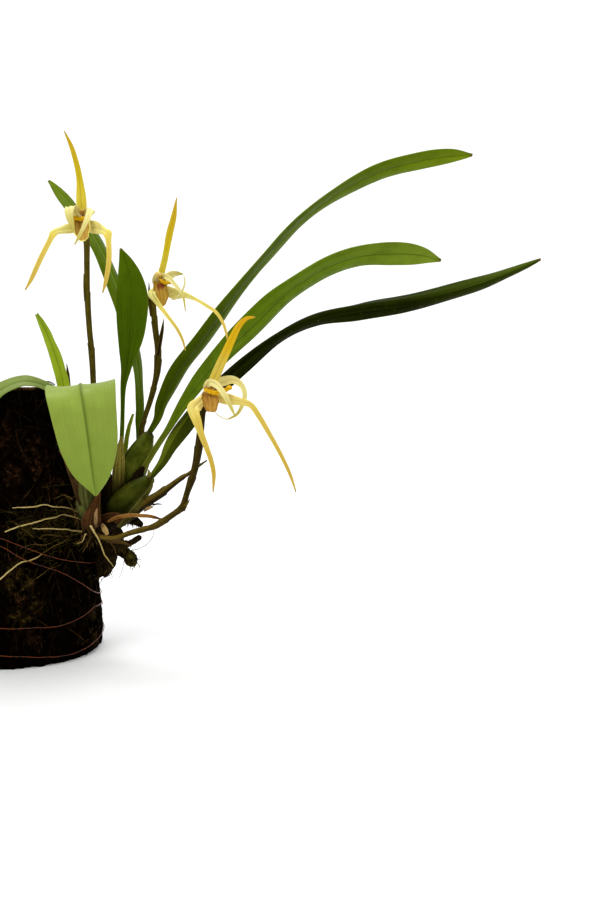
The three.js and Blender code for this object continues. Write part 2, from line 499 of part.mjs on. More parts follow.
// Flowers. In each, the column and lip are seated first, then petals, then sepals.
piece('flower_left_column', 'column', stem([[40.8, -23.6, 211.2, 1.2], [41, -25, 211.5, 2],
  [41.4, -27, 211.8, 1.6], [41.8, -29.4, 212, 1.4], [42.1, -31, 212, 0.8]]));
piece('flower_left_lip', 'lip', petal([[41.7, -27.6, 209.4, 3.1, 50, 50], [42.3, -31, 206, 4.1, 44, 44],
  [42.9, -34, 201.8, 3.7, 38, 38], [43.5, -36, 197.7, 1.3, 25, 25]], { steps: 4 }));
piece('flower_left_petal_left', 'petal', petal([[39, -26, 211.5, 1.5, 8, 8],
  [38, -28.5, 213.6, 2.6, 8, 8], [37.6, -31.5, 214.6, 2.6, 8, 8], [37.4, -35, 213.5, 2.3, 8, 8],
  [37.5, -37, 210.5, 1.9, 8, 8], [38.2, -37.5, 207.2, 1.4, 8, 8], [39.9, -37, 202.8, 0.5, 5, 5]],
{ across: [1, 0, 0.15] }));
piece('flower_left_petal_right', 'petal', petal([[42.9, -26, 211.7, 1.5, 8, 8],
  [45.1, -29, 213, 2.3, 8, 8], [46.6, -32.5, 213.3, 2, 8, 8], [47, -36.5, 211.5, 1.6, 8, 8],
  [46.3, -40, 207.3, 1.2, 10, 10], [44.9, -42, 202.9, 0.9, 10, 10], [43.1, -43, 198.8, 0.65, 8, 8],
  [41, -42, 195.6, 0.45, 5, 5]], { across: [0.9, 0, -0.4] }));
piece('flower_left_sepal_top', 'sepal', petal([[40.8, -24.6, 213.8, 2, 20, 20],
  [40.8, -26, 219.3, 2.3, 18, 18], [40.7, -28, 227.1, 1.6, 20, 20], [39.9, -30, 233.5, 1.3, 22, 22],
  [38.2, -32, 240.7, 1.05, 20, 20], [35.3, -34, 247.6, 0.45, 10, 10]]));
piece('flower_left_sepal_left', 'sepal', petal([[38.8, -25.2, 209.4, 1.9, 16, 16],
  [36, -29, 206.2, 2.4, 16, 16], [33, -33, 204.4, 1.8, 16, 16], [30.4, -36, 202, 1.4, 18, 18],
  [28.2, -38, 196.8, 1.2, 20, 20], [24.4, -38, 188.8, 1.1, 22, 22], [19.9, -36, 181.3, 0.9, 18, 18],
  [15.9, -33, 176.2, 0.45, 10, 10]]));
piece('flower_left_sepal_right', 'sepal', petal([[43.6, -25.2, 209.4, 1.9, 16, 16],
  [48, -29, 206.6, 2.6, 16, 16], [52.5, -34, 204.8, 2.1, 16, 16], [55.8, -37, 201.6, 1.5, 18, 18],
  [56.7, -39, 195.8, 1.2, 20, 20], [56.4, -39, 188.2, 1.15, 22, 22], [54.4, -37, 180.3, 0.9, 18, 18],
  [51.9, -34, 174.7, 0.45, 10, 10]]));

piece('flower_middle_column', 'column', stem([[72.9, -6.9, 181.9, 1.2], [73.8, -7.8, 182.6, 2],
  [75.2, -9.3, 183.6, 1.6], [76.8, -11.2, 184.5, 1.4], [77.9, -12.5, 184.9, 0.8]]));
piece('flower_middle_lip', 'lip', petal([[75.2, -11, 181.4, 2.8, 50, 50],
  [76.4, -13, 178, 3.7, 44, 44], [76.8, -14.4, 174.4, 3.3, 38, 38], [75.9, -15.2, 170.9, 1.2, 25, 25]],
{ steps: 4 }));
piece('flower_middle_petal_near', 'petal', petal([[75.5, -11, 184.8, 1.2, 20, 20],
  [79, -14, 184.8, 1.4, 24, 24], [82.2, -17, 182.8, 1.1, 24, 24], [85.2, -19, 178.6, 0.85, 22, 22],
  [87.2, -20, 173.7, 0.65, 18, 18], [88, -19, 167.6, 0.45, 10, 10]]));
piece('flower_middle_petal_far', 'petal', petal([[74.4, -6.2, 183.4, 1.2, 20, 20],
  [78.8, -4.6, 186.9, 1.9, 24, 24], [81.7, -4, 187.6, 1.4, 20, 20], [84.5, -3, 187.4, 0.5, 10, 10]]));
piece('flower_middle_sepal_top', 'sepal', petal([[74.4, -8, 184.4, 1.5, 20, 20],
  [76.1, -9.5, 191, 1.5, 18, 18], [77.8, -11, 197.5, 1.4, 20, 20], [79.7, -12, 205, 1.25, 22, 22],
  [81.6, -13, 212.4, 1, 20, 20], [83.5, -14, 221.2, 0.45, 10, 10]]));
piece('flower_middle_sepal_left', 'sepal', petal([[73, -9, 181, 1.6, 20, 20],
  [71.7, -15.6, 176, 2.2, 24, 24], [74.2, -21, 172.4, 1.5, 24, 24], [78.3, -25, 167.4, 1, 22, 22],
  [82, -27, 162.8, 0.9, 20, 20], [85, -27.2, 158.6, 0.85, 20, 20], [87.4, -26.3, 153.6, 0.7, 18, 18],
  [88.4, -24.6, 148.7, 0.45, 10, 10]]));
piece('flower_middle_sepal_right', 'petal', petal([[75.2, -7.4, 181.2, 1.5, 20, 20],
  [81.2, -9.6, 177.8, 2.6, 20, 20], [87, -12.6, 176.4, 1.6, 20, 20], [92.6, -15.8, 173.4, 0.9, 20, 20],
  [98, -18.6, 170.2, 0.85, 22, 22], [102.6, -21.2, 167, 0.85, 22, 22], [105.8, -23, 162.4, 0.8, 22, 22],
  [107.6, -24.2, 157.6, 0.65, 18, 18], [108.2, -24.6, 153.8, 0.45, 10, 10]]));

piece('flower_right_column', 'column', stem([[99.8, -40.8, 128.4, 1.2], [100.4, -41.8, 129.3, 2.1],
  [101.2, -43.4, 130.4, 1.6], [102.4, -46, 131.7, 1.4], [103.3, -48, 132.3, 0.8]]));
piece('flower_right_lip', 'lip', petal([[101.6, -45.2, 128.3, 3.4, 50, 50], [102.6, -49, 125.6, 4.5, 42, 42],
  [102.5, -51.8, 122.8, 4, 36, 36], [102.1, -53.2, 119.7, 1.8, 25, 25]], { steps: 4 }));
piece('flower_right_petal_near', 'petal', petal([[99.9, -45.6, 131, 1.4, 20, 20],
  [102.4, -50.6, 133.6, 1.7, 24, 24], [106.3, -55, 132.1, 1.5, 24, 24], [109.6, -58, 127.9, 1.25, 22, 22],
  [112.3, -59, 122.9, 0.9, 18, 18], [114, -59, 119, 0.45, 10, 10]]));
piece('flower_right_petal_far', 'petal', petal([[103.3, -40.2, 132.2, 1.5, 20, 20],
  [106.8, -38.5, 134, 2.4, 20, 20], [111.3, -38, 134.9, 2.1, 20, 20], [115.4, -39, 132.8, 1.4, 20, 20],
  [117.3, -40.5, 128.6, 1.2, 20, 20], [116.5, -42, 124, 1, 18, 18], [113.9, -43.5, 119.3, 0.7, 14, 14],
  [109.9, -44.5, 117, 0.45, 10, 10]]));
piece('flower_right_sepal_top', 'sepalDeep', petal([[101, -41.2, 131, 1.7, 20, 20],
  [102.9, -41.5, 136.3, 2.6, 20, 20], [105.7, -42, 142.5, 2.6, 20, 20], [108.5, -42.5, 148.3, 2.3, 22, 22],
  [111.3, -43.5, 154.1, 1.9, 22, 22], [114.6, -45, 159.4, 1.6, 20, 20], [118.3, -47, 162.4, 1, 16, 16],
  [122.5, -49, 162.7, 0.5, 10, 10]]));
piece('flower_right_sepal_left', 'sepalDeep', petal([[99.1, -43.4, 127.2, 1.9, 20, 20],
  [97, -47, 125.4, 2.9, 20, 20], [95.4, -50.6, 122.2, 2.7, 22, 22], [96.6, -53.2, 117.4, 2, 22, 22],
  [98.2, -54, 113, 1.6, 22, 22], [100.7, -54, 106.4, 1.25, 22, 22], [103.2, -53, 98.7, 1, 22, 22],
  [104, -52, 91.9, 0.85, 18, 18], [103.3, -50, 84.4, 0.45, 10, 10]]));
piece('flower_right_sepal_right', 'sepalDeep', petal([[101.8, -42.4, 128, 1.6, 20, 20],
  [108.7, -46, 126.4, 2.5, 20, 20], [115.2, -49.4, 125.4, 1.9, 20, 20], [120.4, -51.2, 123.4, 1.35, 20, 20],
  [123.6, -52, 119.4, 1.2, 20, 20], [128.2, -52, 112, 1.1, 20, 20], [133.6, -51, 102.1, 0.95, 20, 20],
  [138, -50, 92.6, 0.75, 16, 16], [140.7, -48, 84.3, 0.45, 10, 10]]));

// Seat the pieces: each is cut back by the grown outline of every piece it would touch.
const overlaps = (a, b) => [0, 1, 2].every(
  (i) => a.min[i] - SEAT_GAP < b.max[i] && b.min[i] - SEAT_GAP < a.max[i]);
const asSolid = (made) => (made.isBufferGeometry ? solid(made) : made);

function seatPieces() {
  const group = new THREE.Group();
  group.name = 'potted_maxillaria_bradei';
  const seated = [];
  pieces.forEach(({ name, paint, make }) => {
    let body = asSolid(make(0));
    const box = body.boundingBox();
    seated.filter((other) => overlaps(other.box, box)).forEach((other) => {
      other.grown ??= asSolid(other.make(SEAT_GAP));
      body = body.subtract(other.grown);
    });
    body = largest(body);
    seated.push({ make, box: body.boundingBox() });
    const [color, roughness, metalness] = PAINT[paint];
    const mesh = new THREE.Mesh(fromSolid(body),
      new THREE.MeshStandardMaterial({ color, roughness, metalness }));
    mesh.name = name;
    group.add(mesh);
  });
  return group;
}

export default seatPieces();
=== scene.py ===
"""Dressed model of a flowering orchid tied to an upright log of tree-fern fibre.

Rows of numbers are in millimetres and meshes are in metres. The log's axis is Z, the
photographed front faces -Y, and the leaves and flowers arch towards +X.
"""

from __future__ import annotations

import logging
import math
import random
from dataclasses import dataclass, field
from enum import Enum
from typing import Callable, Sequence

import bpy
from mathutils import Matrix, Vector, noise

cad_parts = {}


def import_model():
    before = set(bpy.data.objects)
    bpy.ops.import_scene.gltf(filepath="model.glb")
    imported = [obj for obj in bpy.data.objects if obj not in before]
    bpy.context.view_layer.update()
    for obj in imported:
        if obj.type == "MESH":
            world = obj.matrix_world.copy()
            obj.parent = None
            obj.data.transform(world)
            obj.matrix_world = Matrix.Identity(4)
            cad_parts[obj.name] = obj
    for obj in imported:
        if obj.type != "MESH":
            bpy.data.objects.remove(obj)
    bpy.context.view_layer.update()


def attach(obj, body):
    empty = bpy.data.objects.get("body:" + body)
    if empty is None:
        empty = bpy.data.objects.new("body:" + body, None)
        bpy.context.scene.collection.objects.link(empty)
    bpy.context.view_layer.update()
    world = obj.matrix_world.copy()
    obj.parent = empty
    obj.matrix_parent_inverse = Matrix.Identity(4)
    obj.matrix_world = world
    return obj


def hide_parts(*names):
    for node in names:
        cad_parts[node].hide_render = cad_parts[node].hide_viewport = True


MM = 0.001
FRONT = (0.0, -1.0, 0.0)
UP = Vector((0.0, 0.0, 1.0))

Row = Sequence[float]
Rows = Sequence[Row]
Place = Callable[[float, float], Vector]

log = logging.getLogger("orchid")


# Curves and noise


def between(w: float, low: float, high: float, leave: float, arrive: float) -> float:
    """Number at a share of a smooth span.

    Args:
        w: Share of the span, from 0 to 1.
        low: Number at its start.
        high: Number at its end.
        leave: Slope at its start.
        arrive: Slope at its end.

    Returns:
        The number there.
    """
    return ((2 * w**3 - 3 * w**2 + 1) * low + (w**3 - 2 * w**2 + w) * leave
            + (3 * w**2 - 2 * w**3) * high + (w**3 - w**2) * arrive)


class Spline:
    """Smooth curve through rows of numbers, spaced evenly from row to row."""

    def __init__(self, rows: Rows) -> None:
        """Keep the rows.

        Args:
            rows: At least two rows of equal length.
        """
        self.rows = [tuple(float(n) for n in row) for row in rows]

    def _row(self, i: int) -> tuple[float, ...]:
        """Row i, carried on past either end."""
        last = len(self.rows) - 1
        if i < 0:
            return tuple(2 * a - b for a, b in zip(self.rows[0], self.rows[1]))
        if i > last:
            return tuple(2 * a - b for a, b in zip(self.rows[last], self.rows[last - 1]))
        return self.rows[i]

    def at(self, t: float) -> tuple[float, ...]:
        """Numbers at a share of the way.

        Args:
            t: Share of the way, from 0 to 1.

        Returns:
            The numbers there.
        """
        place = min(max(t, 0.0), 1.0) * (len(self.rows) - 1)
        i = min(int(place), len(self.rows) - 2)
        w = place - i
        values = []
        for a, b, c, d in zip(self._row(i - 1), self._row(i), self._row(i + 1), self._row(i + 2)):
            values.append(between(w, b, c, (c - a) / 2, (d - b) / 2))
        return tuple(values)

    def heading(self, t: float) -> Vector:
        """Unit direction of the first three numbers at a share of the way."""
        step = 0.002
        ahead, behind = self.at(t + step), self.at(t - step)
        return (Vector(ahead[:3]) - Vector(behind[:3])).normalized()


def ripple(x: float, y: float, z: float, octaves: int = 3) -> float:
    """Smooth noise between about -1 and 1 at a point given in feature sizes."""
    return noise.fractal(Vector((x, y, z)), 0.8, 2.1, octaves)


def bell(x: float, width: float) -> float:
    """Bump of height 1 at 0 that fades over a width."""
    return math.exp(-(x / width) ** 2)


# Modelling with Blender's operators


def clear_selection() -> None:
    """Deselect everything, the loaded solids among it."""
    bpy.ops.object.select_all(action="DESELECT")


def edit_all(piece: bpy.types.Object, *steps: Callable[[], object]) -> None:
    """Run steps in edit mode on the whole of a piece.

    Args:
        piece: Mesh to edit.
        steps: Calls to run with everything selected.
    """
    clear_selection()
    piece.select_set(True)
    bpy.context.view_layer.objects.active = piece
    bpy.ops.object.mode_set(mode="EDIT")
    bpy.ops.mesh.select_all(action="SELECT")
    for step in steps:
        step()
    bpy.ops.object.mode_set(mode="OBJECT")


def lay_grid(name: str, across: int, along: int, place: Place) -> bpy.types.Object:
    """Add a grid and lay its vertices where a rule says.

    Args:
        name: Name of the piece.
        across: Cells across.
        along: Cells along.
        place: Gives the point in millimetres from the share along (0 to 1) and the
            share across (-1 to 1).

    Returns:
        The new piece.
    """
    clear_selection()
    bpy.ops.mesh.primitive_grid_add(x_subdivisions=across, y_subdivisions=along, size=2.0)
    piece = bpy.context.object
    piece.name = name
    piece.data.name = name
    spots: list[float] = []
    for vertex in piece.data.vertices:
        spots.extend(place((vertex.co.y + 1) / 2, vertex.co.x) * MM)
    piece.data.vertices.foreach_set("co", spots)
    piece.data.update()
    return piece


def thicken(piece: bpy.types.Object, wall: float, offset: float = 0.0) -> None:
    """Give a sheet its thickness.

    Args:
        piece: Open sheet.
        wall: Thickness in millimetres.
        offset: -1 grows it inwards, 0 both ways, 1 outwards.
    """
    clear_selection()
    piece.select_set(True)
    bpy.context.view_layer.objects.active = piece
    modifier = piece.modifiers.new("wall", "SOLIDIFY")
    modifier.thickness = wall * MM
    modifier.offset = offset
    bpy.ops.object.modifier_apply(modifier=modifier.name)


def close_seams(piece: bpy.types.Object) -> None:
    """Weld the seam of a rolled grid, fill its ends and turn its faces outwards."""
    edit_all(
        piece,
        lambda: bpy.ops.mesh.remove_doubles(threshold=2e-6),
        lambda: bpy.ops.mesh.fill_holes(sides=0),
        lambda: bpy.ops.mesh.select_all(action="SELECT"),
        lambda: bpy.ops.mesh.normals_make_consistent(inside=False),
    )


def soften(piece: bpy.types.Object, degrees: float = 55.0) -> None:
    """Shade a piece smooth except along its sharp edges."""
    clear_selection()
    piece.select_set(True)
    bpy.context.view_layer.objects.active = piece
    bpy.ops.object.shade_smooth_by_angle(angle=math.radians(degrees))


def join(name: str, parts: Sequence[bpy.types.Object]) -> bpy.types.Object:
    """Join meshes into one piece.

    Args:
        name: Name of the joined piece.
        parts: Meshes that already have their materials.

    Returns:
        The joined piece.
    """
    clear_selection()
    for part in parts:
        part.select_set(True)
    bpy.context.view_layer.objects.active = parts[0]
    if len(parts) > 1:
        bpy.ops.object.join()
    parts[0].name = name
    parts[0].data.name = name
    return parts[0]


def from_points(name: str, points: Sequence[Vector], faces: Sequence[Sequence[int]],
                degrees: float) -> bpy.types.Object:
    """Piece with given points and faces.

    Args:
        name: Name of the piece.
        points: Its vertices in metres.
        faces: Corner numbers of each face.
        degrees: Angle above which an edge stays sharp.

    Returns:
        The new piece.
    """
    mesh = bpy.data.meshes.new(name)
    mesh.from_pydata([tuple(p) for p in points], [], faces)
    piece = bpy.data.objects.new(name, mesh)
    bpy.context.scene.collection.objects.link(piece)
    soften(piece, degrees)
    return piece


def strands(name: str, paths: Sequence[Rows], sides: int = 4) -> bpy.types.Object:
    """Thin tubes along many short paths, as one mesh.

    Args:
        name: Name of the piece.
        paths: For each strand, rows of x, y, z and radius in millimetres.
        sides: Sides of each strand.

    Returns:
        The new piece.
    """
    points: list[Vector] = []
    faces: list[tuple[int, ...]] = []
    for rows in paths:
        first = len(points)
        spots = [Vector(row[:3]) for row in rows]
        side = None
        for i, spot in enumerate(spots):
            ahead = spots[min(i + 1, len(spots) - 1)] - spots[max(i - 1, 0)]
            ahead.normalize()
            side = ahead.orthogonal() if side is None else side - ahead * side.dot(ahead)
            side.normalize()
            third = ahead.cross(side)
            for k in range(sides):
                a = math.tau * k / sides
                reach = side * math.cos(a) + third * math.sin(a)
                points.append((spot + reach * rows[i][3]) * MM)
        for i in range(len(rows) - 1):
            for k in range(sides):
                a, b = first + i * sides + k, first + i * sides + (k + 1) % sides
                faces.append((a, b, b + sides, a + sides))
        faces.append(tuple(first + k for k in reversed(range(sides))))
        last = first + (len(rows) - 1) * sides
        faces.append(tuple(last + k for k in range(sides)))
    return from_points(name, points, faces, 80)


# Finishes


def tone(red: float, green: float, blue: float) -> tuple[float, float, float, float]:
    """Linear colour from eight-bit red, green and blue."""
    def straight(value: float) -> float:
        """Linear share of one eight-bit value."""
        share = value / 255
        return share / 12.92 if share <= 0.04045 else ((share + 0.055) / 1.055) ** 2.4
    return straight(red), straight(green), straight(blue), 1.0


Tone = tuple[float, float, float, float]
Socket = bpy.types.NodeSocket
WAX = (0.8, 1.0, 0.15, 1.0)
POLLEN = (1.0, 0.8, 0.2, 1.0)


class Graph:
    """Node tree of one procedural material."""

    def __init__(self, name: str) -> None:
        """Start a material with one principled shader.

        Args:
            name: Name of the material.
        """
        self.material = bpy.data.materials.new(name)
        self.material.use_nodes = True
        self.tree = self.material.node_tree
        self.tree.nodes.clear()
        self.shader = self.node("BsdfPrincipled")
        self.node("OutputMaterial", {"Surface": self.shader.outputs[0]})

    def node(self, kind: str, inputs: dict | None = None, **settings: object) -> bpy.types.Node:
        """Add a node.

        Args:
            kind: Node type without its prefix.
            inputs: For each input, a value to set or a socket to link.
            settings: Properties of the node.

        Returns:
            The new node.
        """
        made = self.tree.nodes.new("ShaderNode" + kind)
        for key, value in settings.items():
            setattr(made, key, value)
        for key, value in (inputs or {}).items():
            if isinstance(value, Socket):
                self.tree.links.new(value, made.inputs[key])
            else:
                made.inputs[key].default_value = value
        return made

    def surface(self, **inputs: object) -> None:
        """Set or link inputs of the shader; an underscore stands for a space."""
        for key, value in inputs.items():
            socket = self.shader.inputs[key.replace("_", " ")]
            if isinstance(value, Socket):
                self.tree.links.new(value, socket)
            else:
                socket.default_value = value

    def math(self, operation: str, a: object, b: object = 0.5, clamp: bool = False) -> Socket:
        """Result of a sum on one or two values."""
        made = self.node("Math", {0: a, 1: b}, operation=operation, use_clamp=clamp)
        return made.outputs[0]

    def span(self, value: Socket, low: float, high: float, out_low: float = 0.0,
             out_high: float = 1.0) -> Socket:
        """Smooth step of a value from one span to another."""
        made = self.node("MapRange", {"Value": value, "From Min": low, "From Max": high,
                                      "To Min": out_low, "To Max": out_high},
                         interpolation_type="SMOOTHSTEP")
        return made.outputs[0]

    def mix(self, share: object, a: object, b: object, blend: str = "MIX") -> Socket:
        """Blend of two colours."""
        made = self.node("Mix", {0: share, 6: a, 7: b}, data_type="RGBA", blend_type=blend)
        return made.outputs[2]

    def ramp(self, value: Socket, stops: Sequence[tuple[float, Tone]]) -> Socket:
        """Colour read from a ramp of stops."""
        made = self.node("ValToRGB", {"Fac": value})
        while len(made.color_ramp.elements) < len(stops):
            made.color_ramp.elements.new(0.5)
        for element, (place, colour) in zip(made.color_ramp.elements, stops):
            element.position = place
            element.color = colour
        return made.outputs["Color"]

    def noise(self, vector: Socket, scale: float, detail: float = 3.0, roughness: float = 0.55,
              distortion: float = 0.0) -> Socket:
        """Noise between 0 and 1."""
        made = self.node("TexNoise", {"Vector": vector, "Scale": scale, "Detail": detail,
                                      "Roughness": roughness, "Distortion": distortion})
        return made.outputs[0]

    def spot(self, x: float = 1.0, y: float = 1.0, z: float = 1.0) -> Socket:
        """Place on the piece, stretched along each axis."""
        coordinates = self.node("TexCoord").outputs["Object"]
        return self.node("Mapping", {"Vector": coordinates, "Scale": (x, y, z)}).outputs[0]

    def sheet(self) -> tuple[Socket, Socket, Socket]:
        """Shares across and along the piece's own grid, and how far out from its middle."""
        parts = self.node("SeparateXYZ", {0: self.node("UVMap", uv_map="UVMap").outputs[0]})
        off = self.math("ABSOLUTE", self.math("SUBTRACT", parts.outputs[0], 0.5))
        return parts.outputs[0], parts.outputs[1], self.math("MULTIPLY", off, 2.0)

    def grain(self, across: float, along: float) -> Socket:
        """The piece's own grid, stretched for streaks."""
        flat = self.node("UVMap", uv_map="UVMap").outputs[0]
        return self.node("Mapping", {"Vector": flat, "Scale": (across, along, 1.0)}).outputs[0]

    def bump(self, height: Socket, strength: float, distance: float,
             normal: Socket | None = None) -> Socket:
        """Bumped normal from a height.

        Args:
            height: Height between 0 and 1.
            strength: Strength of the bump.
            distance: Height in millimetres.
            normal: Normal to start from.

        Returns:
            The normal.
        """
        inputs: dict = {"Height": height, "Strength": strength, "Distance": distance * MM}
        if normal is not None:
            inputs["Normal"] = normal
        return self.node("Bump", inputs).outputs[0]


@dataclass(frozen=True)
class Finish:
    """Procedural material under a name of its own."""

    name: str

    def material(self) -> bpy.types.Material:
        """Build the material."""
        g = Graph(self.name)
        self.paint(g)
        return g.material

    def paint(self, g: Graph) -> None:
        """Lay the nodes of the material."""
        raise NotImplementedError


@dataclass(frozen=True)
class Foliage(Finish):
    """Leathery leaf: midrib, parallel veins, dry tip, painted light and shade on its halves."""

    base: Tone
    middle: Tone
    tip: Tone
    rib: Tone
    # left and right scale the colour of each half of the blade: painted light on a half that faces
    # the light, painted shade on a half that lies in shade.
    left: float = 1.0
    right: float = 1.0
    veins: float = 17.0
    gloss: float = 0.42
    dry: float = 0.985
    cloud: float = 0.3
    shine: float = 0.1

    def paint(self, g: Graph) -> None:
        """Lay the nodes of the leaf's material."""
        across, along, off = g.sheet()
        body = g.ramp(along, [(0.16, self.base), (0.32, self.middle), (0.72, self.middle),
                              (1.0, self.tip)])
        mottle = g.noise(g.spot(), 160, 4, 0.6)
        body = g.mix(g.span(mottle, 0.35, 0.75, 0.0, self.cloud), body, tone(34, 44, 0))
        streak = g.noise(g.grain(46, 2.2), 1.0, 3, 0.6)
        body = g.mix(g.span(streak, 0.42, 0.62, 0.0, 0.30), body, self.tip)
        wave = g.math("SINE", g.math("MULTIPLY", off, self.veins * math.tau))
        vein = g.math("MULTIPLY", g.span(wave, 0.2, 1.0), g.span(streak, 0.3, 0.7, 0.4, 1.0))
        body = g.mix(g.math("MULTIPLY", vein, 0.16), body, self.rib)
        # Painted light and shade: each half of the blade is lightened or darkened by the left and
        # right factors.
        side = g.span(across, 0.485, 0.515)
        shade = g.mix(side, (self.left,) * 3 + (1.0,), (self.right,) * 3 + (1.0,))
        body = g.mix(1.0, body, shade, "MULTIPLY")
        # Midrib colour; on the front petiole the near-black rib is painted shadow in its channel.
        rib = g.span(off, 0.0, 0.075, 1.0, 0.0)
        body = g.mix(g.math("MULTIPLY", rib, 0.8), body, self.rib)
        edge = g.span(off, 0.955, 1.0, 0.0, 0.45)
        body = g.mix(edge, body, self.tip)
        fleck = g.span(g.noise(g.spot(), 900, 2, 0.5), 0.70, 0.76, 0.0, 0.5)
        body = g.mix(fleck, body, tone(120, 115, 60))
        worn = g.math("MULTIPLY", g.span(along, self.dry, 1.0),
                      g.span(g.noise(g.spot(), 500), 0.3, 0.6, 0.55, 1.0))
        body = g.mix(worn, body, tone(95, 70, 30))
        height = g.math("ADD", g.math("MULTIPLY", wave, 0.25), g.math("MULTIPLY", streak, 0.9))
        normal = g.bump(height, 0.35, 0.12)
        normal = g.bump(g.noise(g.spot(), 1400, 3, 0.6), 0.12, 0.06, normal)
        rough = g.span(mottle, 0.3, 0.8, self.gloss - 0.05, self.gloss + 0.12)
        g.surface(Base_Color=body, Roughness=rough, Normal=normal,
                  Specular_IOR_Level=self.shine, Specular_Tint=WAX)


@dataclass(frozen=True)
class Bulb(Finish):
    """Fleshy green pseudobulb, paler along its ridges and brown at its base."""

    skin: Tone
    pale: Tone
    foot: Tone

    def paint(self, g: Graph) -> None:
        """Lay the nodes of the pseudobulb's material."""
        _across, along, _off = g.sheet()
        broad = g.noise(g.spot(), 120, 3, 0.6)
        body = g.mix(g.span(broad, 0.35, 0.7), self.skin, self.pale)
        streak = g.noise(g.grain(34, 1.6), 1.0, 4, 0.6)
        body = g.mix(g.span(streak, 0.5, 0.72, 0.0, 0.35), body, self.pale)
        body = g.mix(g.span(streak, 0.28, 0.42, 0.35, 0.0), body, self.foot)
        body = g.mix(g.span(along, 0.05, 0.5, 0.9, 0.0), body, self.foot)
        scar = g.span(along, 0.86, 0.89)
        body = g.mix(scar, body, tone(34, 24, 12))
        dots = g.span(g.noise(g.spot(), 1500, 2, 0.5), 0.68, 0.74, 0.0, 0.2)
        body = g.mix(dots, body, tone(140, 140, 90))
        height = g.math("ADD", g.math("MULTIPLY", streak, 0.8),
                        g.math("MULTIPLY", g.noise(g.spot(), 1100, 3), 0.3))
        g.surface(Base_Color=body, Roughness=g.span(broad, 0.3, 0.8, 0.38, 0.55),
                  Normal=g.bump(height, 0.4, 0.25), Specular_IOR_Level=0.25, Specular_Tint=WAX)


@dataclass(frozen=True)
class Tepal(Finish):
    """Waxy sepal or petal that deepens from its base to its tip."""

    base: Tone
    middle: Tone
    tip: Tone
    turn: float = 0.5

    def paint(self, g: Graph) -> None:
        """Lay the nodes of the sepal's or petal's material."""
        _across, along, _off = g.sheet()
        body = g.ramp(along, [(0.0, self.base), (self.turn * 0.55, self.base),
                              (self.turn, self.middle), (1.0, self.tip)])
        streak = g.noise(g.grain(15, 1.8), 1.0, 3, 0.6)
        body = g.mix(g.span(streak, 0.45, 0.68, 0.0, 0.4), body, self.tip)
        body = g.mix(g.span(streak, 0.28, 0.45, 0.3, 0.0), body, self.base)
        end = g.span(along, 0.955, 1.0, 0.0, 0.55)
        body = g.mix(end, body, tone(150, 135, 60))
        height = g.math("ADD", streak, g.math("MULTIPLY", g.noise(g.spot(), 1800, 3), 0.35))
        g.surface(Base_Color=body, Roughness=0.5, Normal=g.bump(height, 0.3, 0.1),
                  Specular_IOR_Level=0.2, Specular_Tint=POLLEN, Subsurface_Weight=0.1,
                  Subsurface_Scale=0.0008, Subsurface_Radius=(1.0, 0.8, 0.35))


@dataclass(frozen=True)
class LipSkin(Finish):
    """Ochre-brown trough with darker lines, a pale rim and a red-brown mark."""

    floor: Tone
    dark: Tone
    rim: Tone
    rim_share: float = 1.0
    mark: float = 0.0

    def paint(self, g: Graph) -> None:
        """Lay the nodes of the lip's material."""
        _across, along, off = g.sheet()
        streak = g.noise(g.grain(22, 1.4), 1.0, 4, 0.65)
        body = g.mix(g.span(streak, 0.36, 0.62), self.dark, self.floor)
        body = g.mix(g.span(along, 0.0, 0.28, 0.75, 0.0), body, self.dark)
        speck = g.span(g.noise(g.spot(), 1500, 3), 0.55, 0.68, 0.0, 0.55)
        body = g.mix(speck, body, self.dark)
        spot = g.math("MULTIPLY", g.span(along, 0.04, 0.12), g.span(along, 0.2, 0.36, 1.0, 0.0))
        spot = g.math("MULTIPLY", spot, g.span(off, 0.3, 0.7, self.mark, 0.0))
        body = g.mix(spot, body, tone(120, 22, 10))
        rim = g.math("MAXIMUM", g.span(off, 0.86, 0.99), g.span(along, 0.9, 0.98))
        body = g.mix(g.math("MULTIPLY", rim, self.rim_share), body, self.rim)
        g.surface(Base_Color=body, Roughness=0.42, Normal=g.bump(streak, 0.5, 0.2),
                  Specular_IOR_Level=0.25, Specular_Tint=POLLEN)


@dataclass(frozen=True)
class Stem(Finish):
    """Round plant stem with streaks and painted shade down one side."""

    low: Tone
    high: Tone
    dark: Tone
    rough: float = 0.55
    # under: how strongly one side of the stem is darkened, painted shade as if it lay underneath.
    under: float = 0.0

    def paint(self, g: Graph) -> None:
        """Lay the nodes of the stem's material."""
        _across, along, off = g.sheet()
        body = g.ramp(along, [(0.0, self.low), (1.0, self.high)])
        streak = g.noise(g.grain(9, 30), 1.0, 4, 0.65)
        body = g.mix(g.span(streak, 0.45, 0.68, 0.0, 0.75), body, self.dark)
        broad = g.noise(g.spot(), 260, 3, 0.6)
        body = g.mix(g.span(broad, 0.5, 0.72, 0.0, 0.5), body, self.high)
        # Painted shade: one side of the stem, by the grid across it, is darkened toward the dark
        # colour by under.
        body = g.mix(g.span(off, 0.34, 0.62, self.under, 0.0), body, self.dark)
        fine = g.noise(g.spot(1, 1, 0.25), 2200, 3, 0.6)
        rough = g.span(broad, 0.3, 0.8, self.rough - 0.08, self.rough + 0.15)
        g.surface(Base_Color=body, Roughness=rough,
                  Normal=g.bump(g.math("ADD", fine, streak), 0.4, 0.14),
                  Specular_IOR_Level=0.15, Specular_Tint=POLLEN)


